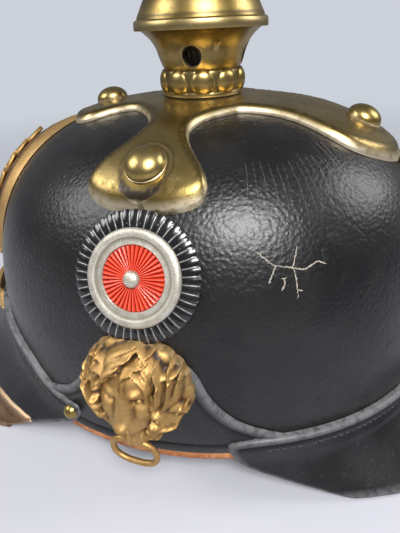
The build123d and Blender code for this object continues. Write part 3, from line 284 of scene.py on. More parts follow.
def patina_group() -> bpy.types.NodeTree:
    """Group for uneven colour, dark hollows with dirt, painted shade and a painted
    reflection, worn edges with painted highlights, and light specks.

    Returns:
        The group.
    """
    group, tree, start, end = new_group(
        "Patina",
        {"Colour": COLOUR, "Second": COLOUR, "Dark": COLOUR, "Edge": COLOUR,
         "Scale": FLOAT, "Blotch": FLOAT, "Cavity": FLOAT, "Wear and highlight": FLOAT,
         "Specks": FLOAT},
        {"Colour": COLOUR, "Wear": FLOAT, "Clean and unshaded": FLOAT},
    )
    place = tree.add("ShaderNodeTexCoord").outputs["Object"]
    broad = tree.add("ShaderNodeTexNoise")
    fine = tree.add("ShaderNodeTexNoise")
    for node, times, detail in ((broad, 1, 3), (fine, 5.3, 6)):
        tree.link(place, node.inputs["Vector"])
        tree.link(tree.maths("MULTIPLY", start.outputs["Scale"], times),
                  node.inputs["Scale"])
        node.inputs["Detail"].default_value = detail
        node.inputs["Roughness"].default_value = .62
    # Broad patches of the second colour, then stains
    shade = tree.spread(broad.outputs[0], .38, .64)
    colour = tree.mix(shade, start.outputs["Colour"], start.outputs["Second"])
    stain = tree.maths("MULTIPLY", tree.spread(fine.outputs[0], .52, .74),
                       start.outputs["Blotch"])
    colour = tree.mix(stain, colour, start.outputs["Dark"])
    # Darkening in the hollows: dirt, and on some pieces painted shade and a painted
    # reflection
    hollow = tree.add("ShaderNodeAttribute", attribute_name="hollow")
    deep = tree.maths("MULTIPLY", hollow.outputs["Fac"], start.outputs["Cavity"])
    deep = tree.spread(deep, .02, .75)
    colour = tree.mix(deep, colour, start.outputs["Dark"])
    # Edges worn bright or pale, and painted highlights on some ridges and lips, broken up
    # by the fine noise
    rim = tree.add("ShaderNodeAttribute", attribute_name="rim")
    broken = tree.spread(fine.outputs[0], .30, .58)
    wear_and_highlight = tree.maths("MULTIPLY", rim.outputs["Fac"], start.outputs["Wear and highlight"])
    wear_and_highlight = tree.maths("MULTIPLY", wear_and_highlight, tree.maths("ADD", .45, broken))
    wear_and_highlight = tree.maths("MINIMUM", wear_and_highlight, 1.0)
    colour = tree.mix(wear_and_highlight, colour, start.outputs["Edge"])
    # Light specks
    dots = tree.add("ShaderNodeTexVoronoi")
    tree.link(place, dots.inputs["Vector"])
    dots.inputs["Scale"].default_value = 700
    chosen = tree.maths("LESS_THAN", dots.outputs["Distance"], .2)
    rare = tree.maths("GREATER_THAN", fine.outputs[0], .60)
    speck = tree.maths("MULTIPLY", tree.maths("MULTIPLY", chosen, rare),
                       start.outputs["Specks"])
    colour = tree.mix(speck, colour, start.outputs["Edge"])
    tree.link(colour, end.inputs["Colour"])
    # Deep darkening, from dirt and painted shade alike, also takes away the metal's shine
    dirt_and_shade = tree.spread(deep, .45, .95)
    tree.link(tree.maths("SUBTRACT", 1.0, dirt_and_shade), end.inputs["Clean and unshaded"])
    tree.link(tree.maths("MAXIMUM", stain, tree.maths("MULTIPLY", wear_and_highlight, .6)),
              end.inputs["Wear"])
    return group


def grain_group() -> bpy.types.NodeTree:
    """Group for the height of pebbled leather or fine scratches.

    Returns:
        The group.
    """
    group, tree, start, end = new_group(
        "Grain", {"Scale": FLOAT, "Pebble": FLOAT}, {"Height": FLOAT})
    place = tree.add("ShaderNodeTexCoord").outputs["Object"]
    cells = tree.add("ShaderNodeTexVoronoi", feature="SMOOTH_F1")
    noise = tree.add("ShaderNodeTexNoise")
    for node in (cells, noise):
        tree.link(place, node.inputs["Vector"])
        tree.link(start.outputs["Scale"], node.inputs["Scale"])
    noise.inputs["Detail"].default_value = 5
    bumps = tree.maths("SUBTRACT", 1.0, cells.outputs["Distance"])
    bumps = tree.maths("MULTIPLY", bumps, start.outputs["Pebble"])
    tree.link(tree.maths("ADD", bumps, noise.outputs[0]), end.inputs["Height"])
    return group


class Paints:
    """Makes each slot's material once."""

    def __init__(self) -> None:
        """Make the shared groups."""
        self.patina = patina_group()
        self.grain = grain_group()
        self.made: dict[Slot, bpy.types.Material] = {}

    def get(self, slot: Slot) -> bpy.types.Material:
        """Return the material of a slot."""
        if slot not in self.made:
            self.made[slot] = self.build(FINISHES[slot])
        return self.made[slot]

    def build(self, look: Finish) -> bpy.types.Material:
        """Build one material.

        Args:
            look: Colours and surface values.

        Returns:
            The material.
        """
        material = bpy.data.materials.new(look.slot.value)
        material.use_nodes = True
        tree = NodeTree(material.node_tree)
        shader = next(n for n in tree.tree.nodes if n.type == "BSDF_PRINCIPLED")
        patina = tree.add("ShaderNodeGroup", node_tree=self.patina)
        grain = tree.add("ShaderNodeGroup", node_tree=self.grain)
        for name, value in (("Colour", look.colour), ("Second", look.second),
                            ("Dark", look.dark), ("Edge", look.edge)):
            patina.inputs[name].default_value = (*value, 1)
        for name, value in (("Scale", look.scale), ("Blotch", look.blotch),
                            ("Cavity", look.cavity), ("Wear and highlight", look.wear_and_highlight),
                            ("Specks", look.specks)):
            patina.inputs[name].default_value = value
        grain.inputs["Scale"].default_value = look.grain
        grain.inputs["Pebble"].default_value = look.pebble
        bump = tree.add("ShaderNodeBump")
        bump.inputs["Strength"].default_value = look.strength
        bump.inputs["Distance"].default_value = look.depth
        tree.link(grain.outputs["Height"], bump.inputs["Height"])
        tree.link(bump.outputs["Normal"], shader.inputs["Normal"])
        tree.link(patina.outputs["Colour"], shader.inputs["Base Color"])
        rough = tree.maths("MULTIPLY_ADD", patina.outputs["Wear"], .3)
        rough.node.inputs[2].default_value = look.rough
        tree.link(rough, shader.inputs["Roughness"])
        if look.metal:
            metal = tree.maths("MULTIPLY", patina.outputs["Clean and unshaded"], look.metal)
            tree.link(metal, shader.inputs["Metallic"])
        shader.inputs["Specular IOR Level"].default_value = .34
        shader.inputs["Coat Weight"].default_value = look.coat
        shader.inputs["Coat Roughness"].default_value = .25
        return material


PAINTS = Paints()


@dataclass
class Surface:
    """Vertices in millimetres, faces and named point values of one mesh."""

    points: Array
    faces: list[tuple[int, ...]]
    rim: Array | None = None
    hollow: Array | None = None

    def __add__(self, other: Surface) -> Surface:
        """Join two surfaces.

        Args:
            other: The surface whose points come second.

        Returns:
            Both as one.
        """
        shift = len(self.points)
        faces = self.faces + [tuple(i + shift for i in f) for f in other.faces]
        return Surface(np.vstack([self.points, other.points]), faces,
                       np.concatenate([self.value("rim"), other.value("rim")]),
                       np.concatenate([self.value("hollow"), other.value("hollow")]))

    def value(self, name: str) -> Array:
        """Return one named point value, zeros if it isn't there."""
        found = getattr(self, name)
        return np.zeros(len(self.points)) if found is None else found

    def mirrored(self) -> Surface:
        """Return the same surface on the other side of the helmet."""
        return Surface(self.points * (-1, 1, 1), [f[::-1] for f in self.faces],
                       self.rim, self.hollow)


def united(parts: Sequence[Surface]) -> Surface:
    """Join several surfaces.

    Args:
        parts: The surfaces, at least one.

    Returns:
        All of them as one.
    """
    total = parts[0]
    for more in parts[1:]:
        total = total + more
    return total


def mesh_of(name: str, surface: Surface) -> bpy.types.Mesh:
    """Turn a surface into a mesh in metres with its point values.

    Args:
        name: The mesh's name.
        surface: Its shape in millimetres.

    Returns:
        The mesh.
    """
    mesh = bpy.data.meshes.new(name)
    mesh.from_pydata((surface.points / MM).tolist(), [], surface.faces)
    for key in ("rim", "hollow"):
        made = mesh.attributes.new(key, "FLOAT", "POINT")
        made.data.foreach_set("value", surface.value(key).astype(np.float32))
    return mesh


def make_piece(name: str, surface: Surface, slot: Slot, nodes: Sequence[str] = (),
               body: str = "", sharp: float = 40) -> bpy.types.Object:
    """Turn a surface into a piece of the helmet.

    Args:
        name: The piece's name.
        surface: Its shape in millimetres.
        slot: Its finish.
        nodes: CAD nodes that it stands for.
        body: The body it moves with.
        sharp: Angle in degrees above which an edge stays sharp.

    Returns:
        The object.
    """
    mesh = mesh_of(name, surface)
    work = bmesh.new()
    work.from_mesh(mesh)
    bmesh.ops.remove_doubles(work, verts=work.verts, dist=MERGE)
    bmesh.ops.recalc_face_normals(work, faces=work.faces)
    work.to_mesh(mesh)
    work.free()
    mesh.shade_smooth()
    mesh.set_sharp_from_angle(angle=math.radians(sharp))
    mesh.materials.append(PAINTS.get(slot))
    piece = bpy.data.objects.new(name, mesh)
    show(piece)
    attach(piece, body or HOME)
    if nodes:
        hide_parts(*nodes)
    log.info("%s: %d faces", name, len(mesh.polygons))
    return piece


def show(thing: bpy.types.Object) -> None:
    """Put an object into the scene."""
    bpy.context.scene.collection.objects.link(thing)


def make_pair(name: str, surface: Surface, slot: Slot, node: str, body: str = "",
              sharp: float = 40) -> None:
    """Make a piece of the left side and its mirror image on the right.

    Args:
        name: The end of both pieces' names, after the side.
        surface: The left one's shape in millimetres.
        slot: Their finish.
        node: The start of the names of the CAD nodes they stand for.
        body: The start of the bodies' names, if they move.
        sharp: Angle in degrees above which an edge stays sharp.
    """
    for side, shape in (("left", surface), ("right", surface.mirrored())):
        make_piece(f"{side}_{name}", shape, slot, [f"{node}_{side}"],
                   body and f"{body}_{side}", sharp)


HOME = next(b for b, e in frame["bodies"].items()
            if any(n.parent == e for k, n in frame["nodes"].items() if k == "shell"))


def node_points(name: str) -> Array:
    """Read a CAD node's corners.

    Args:
        name: The node's name.

    Returns:
        Its corners in millimetres.
    """
    corners = frame["nodes"][name].data.vertices
    points = np.empty(len(corners) * 3)
    corners.foreach_get("co", points)
    return points.reshape(-1, 3) * MM


def bell(value: Array, middle: float, width: float) -> Array:
    """Return a smooth bump of 1 at the middle, mostly within the width."""
    return np.exp(-((value - middle) / width) ** 2)


def hem(y: Array) -> Array:
    """Return the height of the skull's lower edge along one side."""
    return HEM + HEM_RISE * y / HEM_RUN


def smooth_curve(points: Sequence[Sequence[float]], count: int = 160) -> Array:
    """Draw a natural cubic spline.

    Args:
        points: The points that it passes through.
        count: How many points to return.

    Returns:
        Points on the curve.
    """
    given = np.array(points, float)
    steps = np.linalg.norm(np.diff(given, axis=0), axis=1)
    knots = np.concatenate([[0], np.cumsum(steps)])
    size = len(given)
    system = np.eye(size)
    right = np.zeros_like(given)
    for i in range(1, size - 1):
        before, after = steps[i - 1], steps[i]
        system[i, i - 1:i + 2] = before, 2 * (before + after), after
        right[i] = 6 * ((given[i + 1] - given[i]) / after
                        - (given[i] - given[i - 1]) / before)
    bend = np.linalg.solve(system, right)
    at = np.linspace(0, knots[-1], count)
    k = np.clip(np.searchsorted(knots, at) - 1, 0, size - 2)
    h = steps[k][:, None]
    a = (knots[k + 1] - at)[:, None] / h
    b = 1 - a
    return (a * given[k] + b * given[k + 1]
            + ((a ** 3 - a) * bend[k] + (b ** 3 - b) * bend[k + 1]) * h ** 2 / 6)


def resample(loop: Array, spacing: float, closed: bool = True) -> Array:
    """Space a line's points evenly.

    Args:
        loop: The line's points.
        spacing: The wanted step along it.
        closed: Whether it ends where it starts.

    Returns:
        The new points, without a repeated last one if it is closed.
    """
    line = np.vstack([loop, loop[:1]]) if closed else np.asarray(loop)
    steps = np.concatenate([[0], np.cumsum(np.linalg.norm(np.diff(line, axis=0),
                                                          axis=1))])
    count = max(4, int(round(steps[-1] / spacing)))
    at = np.linspace(0, steps[-1], count + 1)
    if closed:
        at = at[:-1]
    return np.column_stack([np.interp(at, steps, line[:, i])
                            for i in range(line.shape[1])])


def distance_to(points: Array, line: Array, closed: bool = True) -> Array:
    """Measure how far points are from a line.

    Args:
        points: The points.
        line: The line's own points.
        closed: Whether it ends where it starts.

    Returns:
        One distance for each point.
    """
    batch = 3000
    start = line if closed else line[:-1]
    run = (np.roll(line, -1, 0) if closed else line[1:]) - start
    length = np.maximum((run ** 2).sum(1), 1e-12)
    best = np.empty(len(points))
    for i in range(0, len(points), batch):
        away = points[i:i + batch, None, :] - start
        along = np.clip((away * run).sum(-1) / length, 0, 1)
        gap = away - along[..., None] * run
        best[i:i + batch] = np.sqrt((gap ** 2).sum(-1).min(1))
    return best


def inside(points: Array, loop: Array) -> Array:
    """Tell which points lie in a loop.

    Args:
        points: The points in two coordinates.
        loop: The closed loop.

    Returns:
        True for each point inside.
    """
    x, y = points.T
    found = np.zeros(len(points), bool)
    for (ax, ay), (bx, by) in zip(loop, np.roll(loop, -1, 0)):
        if ay != by:
            found ^= ((ay > y) != (by > y)) & (x < ax + (y - ay) * (bx - ax) / (by - ay))
    return found


def close_up(top: Array, bottom: Array, faces: Array) -> tuple:
    """Join a top and a bottom sheet of the same faces with a side wall.

    Args:
        top: The upper sheet's points.
        bottom: The lower sheet's points, in the same order.
        faces: The triangles that both have.

    Returns:
        All points, and all faces with the wall's.
    """
    count = len(top)
    edges = np.vstack([faces[:, [0, 1]], faces[:, [1, 2]], faces[:, [2, 0]]])
    seen: dict[tuple[int, int], int] = {}
    for a, b in edges.tolist():
        key = (min(a, b), max(a, b))
        seen[key] = seen.get(key, 0) + 1
    walls = [(b, a, a + count, b + count) for a, b in edges.tolist()
             if seen[(min(a, b), max(a, b))] == 1]
    tops = [tuple(f) for f in faces.tolist()]
    bottoms = [(f[2] + count, f[1] + count, f[0] + count) for f in faces.tolist()]
    return np.vstack([top, bottom]), tops + bottoms + walls


def sheet(outline: Array, place: Field, lift: Field, floor: float,
          spacing: float = 1.5, rows: Sequence[float] = (.15, .4, .8, 1.4),
          band: float = 2.0, hollow: Field | None = None,
          hole: float = 0.0) -> Surface:
    """Fill an outline with a shaped sheet of material.

    Args:
        outline: The closed outline in the sheet's own two coordinates.
        place: Takes both coordinates and a stand-off, returns points in space.
        lift: Takes the distance to the edge and both coordinates, returns the
            stand-off of the upper face.
        floor: Stand-off of the lower face.
        spacing: Width of the triangles.
        rows: Distances from the edge that get a row of points of their own.
        band: Width of the edge that gets the edge tint, which marks wear and, on the cross
            base, partly a painted highlight.
        hollow: Takes the same as lift and returns how deep each point lies.
        hole: Radius left open round the origin.

    Returns:
        The closed surface.
    """
    kept_share = .93              # a row's point is kept if it lies this far in
    row_share = .866              # rows of triangles lie this close, in spacings
    clear_share = .6
    loop = resample(outline, spacing)
    turn = np.roll(loop, -1, 0) - np.roll(loop, 1, 0)
    area = (loop[:, 0] * np.roll(loop[:, 1], -1)
            - loop[:, 1] * np.roll(loop[:, 0], -1)).sum()
    inward = np.column_stack([-turn[:, 1], turn[:, 0]]) * np.sign(area)
    inward /= np.linalg.norm(inward, axis=1)[:, None] + 1e-12
    sets = [loop]
    for row in rows:
        moved = loop + inward * row
        keep = (distance_to(moved, loop) > row * kept_share) & inside(moved, loop)
        sets.append(moved[keep])
    low, high = loop.min(0), loop.max(0)
    across = np.arange(low[0], high[0], spacing)
    up = np.arange(low[1], high[1], spacing * row_share)
    grid = np.array([(x + (j % 2) * spacing / 2, y)
                     for j, y in enumerate(up) for x in across])
    grid = grid[inside(grid, loop)]
    grid = grid[distance_to(grid, loop) > max(rows) + spacing * clear_share]
    flat = np.vstack([*sets, grid])
    made = delaunay_2d_cdt([Vector(p) for p in flat.tolist()], [],
                           [list(range(len(loop)))], 1, 1e-6)
    spots = np.array([tuple(v) for v in made[0]])
    faces = np.array([f for f in made[2] if len(f) == 3])
    if hole:
        middle = spots[faces].mean(1)
        faces = faces[np.hypot(*middle.T) > hole]
        used, faces = np.unique(faces, return_inverse=True)
        faces = faces.reshape(-1, 3)
        spots = spots[used]
    edge = distance_to(spots, loop)
    u, v = spots.T
    top = place(u, v, lift(edge, u, v))
    bottom = place(u, v, np.full(len(u), float(floor)))
    points, joined = close_up(top, bottom, faces)
    rim = np.clip(1 - edge / band, 0, 1) ** .7
    deep = np.zeros(len(u)) if hollow is None else hollow(edge, u, v)
    return Surface(points, joined, np.concatenate([rim, rim]),
                   np.concatenate([deep, deep]))


def ribbon_grid(rows: Array, wrap: bool = True, closed: bool = True) -> list:
    """Make quads over a grid of point numbers.

    Args:
        rows: The point numbers.
        wrap: Whether each row closes on itself.
        closed: Whether the last row joins the first.

    Returns:
        The faces.
    """
    down, along = rows.shape
    faces = []
    for i in range(down if closed else down - 1):
        for j in range(along if wrap else along - 1):
            k, m = (i + 1) % down, (j + 1) % along
            faces.append((rows[i, j], rows[i, m], rows[k, m], rows[k, j]))
    return [tuple(int(x) for x in f) for f in faces]


def lathe(profile: Sequence[Sequence[float]], count: int = 96,
          warp: Field | None = None, place: Field | None = None,
          hollow: Field | None = None, rim: Field | None = None) -> Surface:
    """Turn a closed profile of (radius, height) round an axis.

    Args:
        profile: The closed profile.
        count: Steps round the axis.
        warp: Takes radius, angle and height, returns new radius and height.
        place: Takes x, y and height, returns points in space.
        hollow: Takes radius, angle and height, returns depth.
        rim: Takes radius, angle and height, returns the edge tint, which marks wear on most
            pieces and a painted highlight on some.

    Returns:
        The closed surface.
    """
    given = np.array(profile, float)
    angle = np.linspace(0, 2 * math.pi, count, endpoint=False)
    r = np.repeat(given[:, :1], count, 1)
    h = np.repeat(given[:, 1:2], count, 1)
    t = np.repeat(angle[None, :], len(given), 0)
    deep = np.zeros(r.size) if hollow is None else hollow(r, t, h).ravel()
    wear_and_highlight = np.zeros(r.size) if rim is None else rim(r, t, h).ravel()
    if warp is not None:
        r, h = warp(r, t, h)
    x, y, h = (r * np.cos(t)).ravel(), (r * np.sin(t)).ravel(), h.ravel()
    points = np.column_stack([x, y, h]) if place is None else place(x, y, h)
    index = np.arange(len(given) * count).reshape(len(given), count)
    return Surface(points, ribbon_grid(index), wear_and_highlight, deep)


def tube(path: Array, radius: float | Array, sides: int = 12,
         closed: bool = False, flat: float = 1.0, up: Sequence[float] = (0, 0, 1)
         ) -> Surface:
    """Sweep a round section along a path in space.

    Args:
        path: The path's points.
        radius: The section's radius, one for all points or one for each.
        sides: Corners of the section.
        closed: Whether the path ends where it starts.
        flat: The section's height as a share of its width.
        up: A direction that the path never follows.

    Returns:
        The closed surface.
    """
    path = np.asarray(path, float)
    ahead = (np.roll(path, -1, 0) - np.roll(path, 1, 0)) if closed \
        else np.gradient(path, axis=0)
    ahead /= np.linalg.norm(ahead, axis=1)[:, None] + 1e-12
    first = np.cross(ahead, np.array(up, float))
    first /= np.linalg.norm(first, axis=1)[:, None] + 1e-9
    second = np.cross(first, ahead)
    turn = np.linspace(0, 2 * math.pi, sides, endpoint=False)
    size = np.broadcast_to(np.asarray(radius, float), (len(path),))
    ring = (first[:, None] * np.cos(turn)[None, :, None]
            + second[:, None] * np.sin(turn)[None, :, None] * flat)
    points = (path[:, None] + ring * size[:, None, None]).reshape(-1, 3)
    index = np.arange(len(points)).reshape(len(path), sides)
    faces = ribbon_grid(index, closed=closed)
    if not closed:
        faces += [tuple(index[0][::-1].tolist()), tuple(index[-1].tolist())]
    return Surface(points, faces)


def plane_place(origin: Sequence[float], right: Sequence[float],
                out: Sequence[float]) -> Field:
    """Make a place function for a plane in space.

    Args:
        origin: The plane's origin.
        right: The way of its first coordinate.
        out: The way of its height.

    Returns:
        A function from two coordinates and a height to points.
    """
    origin = np.array(origin, float)
    right = np.array(right, float) / np.linalg.norm(right)
    out = np.array(out, float) / np.linalg.norm(out)
    up = np.cross(out, right)

    def place(u: Array, v: Array, h: Array) -> Array:
        """Return points in space."""
        return origin + np.outer(u, right) + np.outer(v, up) + np.outer(h, out)

    return place


@dataclass
class HelmetForm:
    """The skull's outer surface and everything that follows it."""

    wide: float = HALF_WIDTH
    straight: float = 34          # height at which the wall starts to curve in
    high: float = 93              # height of the crown over that
    plan_power: float = 3.0
    rise_power: float = 2.45

    def share(self, z: Array, off: Array) -> Array:
        """Return the plan's size at a height, 1 at the wall."""
        part = np.clip((z - self.straight) / (self.high + off), 0, 1)
        return (1 - part ** self.rise_power) ** (1 / self.plan_power)

    def side(self, y: Array, z: Array, off: Array) -> Array:
        """Place points on the left side.

        Args:
            y: Their Y.
            z: Their Z.
            off: Stand-off from the outer face.

        Returns:
            Points in space.
        """
        wide = self.wide + off
        flat = self.share(z, off) ** 2 - (y / (wide * RATIO)) ** 2
        return np.column_stack([wide * np.sqrt(np.maximum(flat, 0)), y, z])

    def end(self, x: Array, z: Array, off: Array,
            ahead: float = -1) -> Array:
        """Place points on the front or the rear.

        Args:
            x: Their X.
            z: Their Z.
            off: Stand-off from the outer face.
            ahead: -1 for the front, 1 for the rear.

        Returns:
            Points in space.
        """
        wide = self.wide + off
        flat = self.share(z, off) ** 2 - (x / wide) ** 2
        y = ahead * wide * RATIO * np.sqrt(np.maximum(flat, 0))
        return np.column_stack([x, y, z])

    def top(self, x: Array, y: Array, off: Array) -> Array:
        """Place points on the crown.

        Args:
            x: Their X.
            y: Their Y.
            off: Stand-off from the outer face.

        Returns:
            Points in space.
        """
        wide = self.wide + off
        oval = np.clip(np.hypot(x / wide, y / (wide * RATIO)), 0, 1)
        rise = (1 - oval ** self.plan_power) ** (1 / self.rise_power)
        return np.column_stack([x, y, self.straight + (self.high + off) * rise])

    def around(self, turn: Array, z: Array, off: Array) -> Array:
        """Return a point from its angle round the axis and its height."""
        wide = (self.wide + off) * self.share(z, off)
        return np.column_stack([wide * np.sin(turn), wide * RATIO * np.cos(turn), z])


FORM = HelmetForm()


@dataclass
class Shell:
    """The pebbled leather skull with its thick lower edge."""

    wall: float = 3.0
    mouth: float = 10.5           # radius of the hole under the neck
    steps: int = 360
    rows: int = 90
    side_shares: tuple[float, ...] = (.25, .5, .75, .93, 1)
    worn_share: float = .9        # below this share of the side the leather is worn
    edge_round: float = .4
    edge_in: float = 2.6

    def lower_edge(self, angle: Array) -> Array:
        """Find the CAD shell's lower edge.

        Args:
            angle: Angles round the axis.

        Returns:
            Its height at each angle, smoothed.
        """
        highest, window, missing, passes = 60, .09, 30, 6
        given = node_points("shell")
        given = given[given[:, 2] < highest]
        turn = np.arctan2(given[:, 0], given[:, 1] / RATIO)
        low = np.array([given[np.abs(turn - a) < window][:, 2].min(initial=missing)
                        for a in angle])
        for _ in range(passes):
            low = (np.roll(low, 1) + low * 2 + np.roll(low, -1)) / 4
        return low

    def crown_ring(self, share: float, off: float, angle: Array) -> Array:
        """Make one ring of the crown.

        Args:
            share: 0 at the hole, 1 where the wall starts.
            off: Stand-off from the outer face.
            angle: Angles round the axis.

        Returns:
            The ring's points.
        """
        hole = self.mouth / FORM.wide
        oval = hole + (1 - hole) * math.sin(share * math.pi / 2)
        rise = max(1 - oval ** FORM.plan_power, 0) ** (1 / FORM.rise_power)
        z = FORM.straight if share == 1 else FORM.straight + (FORM.high + off) * rise
        wide = (FORM.wide + off) * oval
        return np.column_stack([wide * np.sin(angle), wide * RATIO * np.cos(angle),
                                np.full(self.steps, z)])

    def build(self) -> None:
        """Make the shell."""
        angle = np.linspace(-math.pi, math.pi, self.steps, endpoint=False)
        low = self.lower_edge(angle)
        rings, wear_and_highlight = [], []
        for off, order in ((0.0, 1), (-self.wall, -1)):
            for share in np.linspace(0, 1, self.rows)[::order]:
                rings.append(self.crown_ring(share, off, angle))
                wear_and_highlight.append(np.zeros(self.steps))
            if off == 0:
                for down in self.side_shares:
                    z = FORM.straight + (low - FORM.straight) * down
                    shrink = -self.edge_round if down == 1 else 0
                    rings.append(FORM.around(angle, z, np.full(self.steps, shrink)))
                    wear_and_highlight.append(np.full(self.steps, max(0, down - self.worn_share) * 10))
                rings.append(FORM.around(angle, low, np.full(self.steps, -self.edge_in)))
                wear_and_highlight.append(np.ones(self.steps))
        rows = np.arange(len(rings) * self.steps).reshape(len(rings), self.steps)
        surface = Surface(np.vstack(rings), ribbon_grid(rows), np.concatenate(wear_and_highlight))
        make_piece("shell_skin", surface, Slot.SHELL, ["shell"])


@dataclass
class Visor:
    """One visor with its upright flange, cut edge and stitches."""

    name: str
    ahead: float                  # -1 for the front, 1 for the rear
    reach: float                  # the edge's distance from the axis, along Y
    half: float                   # half width at the edge
    centre: float                 # middle of the edge's oval, along Y
    tilt: float                   # slope of the bend along Y, in degrees
    bend: float                   # the bend's height over the hem at y = 0
    tip: float                    # the ends lie at this Y, the middle a depth beyond
    depth: float
    low_top: float                # height of the upper edge at its ends
    rise: float                   # how much it climbs to the middle
    fall: float                   # how much the lower edge drops to the middle
    top: tuple[tuple[float, float], ...]    # shares of depth and rise
    low: tuple[tuple[float, float], ...]    # shares of depth and fall
    limit: float = 1.31           # half the angle that the visor spans
    power: float = 1.35
    thick: float = 2.4
    scale: float = 97.0           # length along the visor for one radian
    side_drop: float = 15
    overrun: float = 1.04
    bend_width: float = 6
    bend_shares: tuple[tuple[float, float], ...] = (
        (-2.2, .15), (-1.1, .2), (0, .3), (1.1, .2), (2.2, .15))
    low_start: float = 25         # the lower edge starts at this height
    floor_gap: float = .9
    ridge_in: float = 1.6         # distances from the upper edge
    groove_in: float = 3.6
    seam_in: float = 5.2
    stitch: float = 2.6

    def raw(self, turn: Array, w: Array, off: Array) -> Array:
        """Place points on the flange or the sharply bent skirt.

        Args:
            turn: Angles round the axis.
            w: Heights above the bend, below 0 on the skirt.
            off: Stand-off from the inner face.

        Returns:
            Points in space.
        """
        tan = np.tan(np.radians(self.tilt))
        y_skin = self.ahead * (HALF_LENGTH + off * RATIO) * np.cos(turn)
        bend = HEM + self.bend - y_skin * tan
        z = bend + np.maximum(w, 0)
        above = FORM.around(turn, z, off)
        above[:, 1] = np.abs(above[:, 1]) * self.ahead * np.sign(np.cos(turn))
        run = np.hypot(self.side_drop, (self.reach - HALF_LENGTH) * np.cos(turn) ** 2)
        down = np.clip(-w / run, 0, self.overrun)
        out = down ** self.power
        wide = HALF_WIDTH * (1 - out) + self.half * out + off
        long = HALF_LENGTH * (1 - out) + (self.reach - self.centre) * out + off * RATIO
        slope = np.tan(np.radians(self.tilt) * (1 - down))
        y = self.ahead * (self.centre * out + long * np.cos(turn))
        z_low = (HEM + self.bend) * (1 - down) - y * slope
        below = np.column_stack([wide * np.sin(turn), y, z_low])
        return np.where((w > 0)[:, None], above, below)

    def place(self, s: Array, w: Array, off: Array) -> Array:
        """Place points with the bend rounded.

        Args:
            s: Lengths along the visor from its middle.
            w: Heights above the bend.
            off: Stand-off from the inner face.

        Returns:
            Points in space.
        """
        turn = s / self.scale
        near = np.abs(w) < self.bend_width
        fade = near * (1 - abs(w) / self.bend_width)
        total = 0
        for step, share in self.bend_shares:
            total = total + share * self.raw(turn, w + step * fade, off)
        return total

    def edges(self, count: int = 240) -> tuple[Array, Array, Array]:
        """Find both edges.

        Args:
            count: Points along each.

        Returns:
            Lengths along the visor, and the upper and lower edge's heights above
            the bend.
        """
        highest, lowest, tries = 24, -50, 500
        turn = np.linspace(-self.limit, self.limit, count)
        tan = math.tan(math.radians(self.tilt))
        y = HALF_LENGTH * np.cos(turn)
        a = np.clip((y - self.tip) / self.depth, 0, 1)
        above = smooth_curve([(0, 0), *self.top], 80)
        upper = self.low_top + self.rise * np.interp(a, above[:, 0], above[:, 1])
        upper = upper - (HEM + self.bend - self.ahead * y * tan)
        below = smooth_curve([(0, 0), *self.low], 80)
        lower = np.empty(count)
        steps = np.linspace(highest, lowest, tries)
        for i, t in enumerate(turn):
            path = self.raw(np.full(tries, t), steps, np.zeros(tries))
            part = np.clip((np.abs(path[:, 1]) - self.tip) / self.depth, 0, 1)
            want = self.low_start - self.fall * np.interp(part, below[:, 0], below[:, 1])
            hit = np.nonzero(path[:, 2] <= np.maximum(want, self.floor_gap))[0]
            lower[i] = steps[hit[0]] if len(hit) else steps[-1]
        for _ in range(2):
            lower[1:-1] = (lower[:-2] + 2 * lower[1:-1] + lower[2:]) / 4
        return turn * self.scale, upper, lower

    def build(self, nodes: Sequence[str]) -> None:
        """Make the leather and its stitches.

        Args:
            nodes: CAD nodes that the leather stands for.
        """
        s, upper, lower = self.edges()
        lower = np.minimum(lower, upper - .4)
        outline = np.vstack([np.column_stack([s, upper]),
                             np.column_stack([s, lower])[::-1]])

        def lift(edge: Array, u: Array, v: Array) -> Array:
            """Return the outer face with its ridge, groove and rounded edge."""
            round_edge = .9 * (1 - np.clip(edge / .9, 0, 1)) ** 2
            from_top = np.interp(u, s, upper) - v
            ridge = .35 * bell(from_top, self.ridge_in, 1.0)
            groove = .5 * bell(from_top, self.groove_in, .45)
            return SEAT + self.thick + ridge - groove - round_edge

        def hollow(edge: Array, u: Array, v: Array) -> Array:
            """Return the darkening in the groove."""
            from_top = np.interp(u, s, upper) - v
            return bell(from_top, self.groove_in, .6)

        rows = (.2, .5, .9, 1.6, 3.2, 3.6, 4.1)
        surface = sheet(outline, self.place, lift, SEAT, spacing=1.7, rows=rows, band=2.6,
                        hollow=hollow)
        make_piece(self.name + "_leather", surface, Slot.VISOR, nodes)
        self.stitches(s, upper)

    def stitches(self, s: Array, upper: Array) -> None:
        """Make the row of stitches under the upper edge.

        Args:
            s: Lengths along the visor.
            upper: The upper edge's heights there.
        """
        ends_left, rise, pressed, gap_share = 12, .28, -.15, .17
        seam = np.column_stack([s, upper - self.seam_in])[ends_left:-ends_left]
        line = resample(seam, self.stitch, closed=False)
        threads = []
        for a, b in zip(line[:-1], line[1:]):
            ends = np.vstack([a * (1 - gap_share) + b * gap_share, (a + b) / 2,
                              a * gap_share + b * (1 - gap_share)])
            off = SEAT + self.thick + np.array([pressed, rise, pressed])
            path = self.place(ends[:, 0], ends[:, 1], off)
            threads.append(tube(path, np.array([.3, .42, .3]), sides=6))
        total = united(threads)
        total.rim = np.full(len(total.points), .35)
        make_piece(self.name + "_stitches", total, Slot.VISOR)


def front_visor() -> Visor:
    """Return the front visor's sizes."""
    return Visor(
        "front_visor", ahead=-1, reach=140, half=90, centre=44, tilt=11.66, bend=-1.471,
        tip=26.5, depth=77.5, low_top=25, rise=23, fall=24.1,
        top=((.019, .13), (.084, .157), (.155, .17), (.265, .304), (.394, .61),
             (.561, .804), (.755, .935), (1, 1)),
        low=((.02, .166), (.084, .332), (.161, .581), (.303, .83), (.432, .965),
             (.56, 1), (1, 1)))


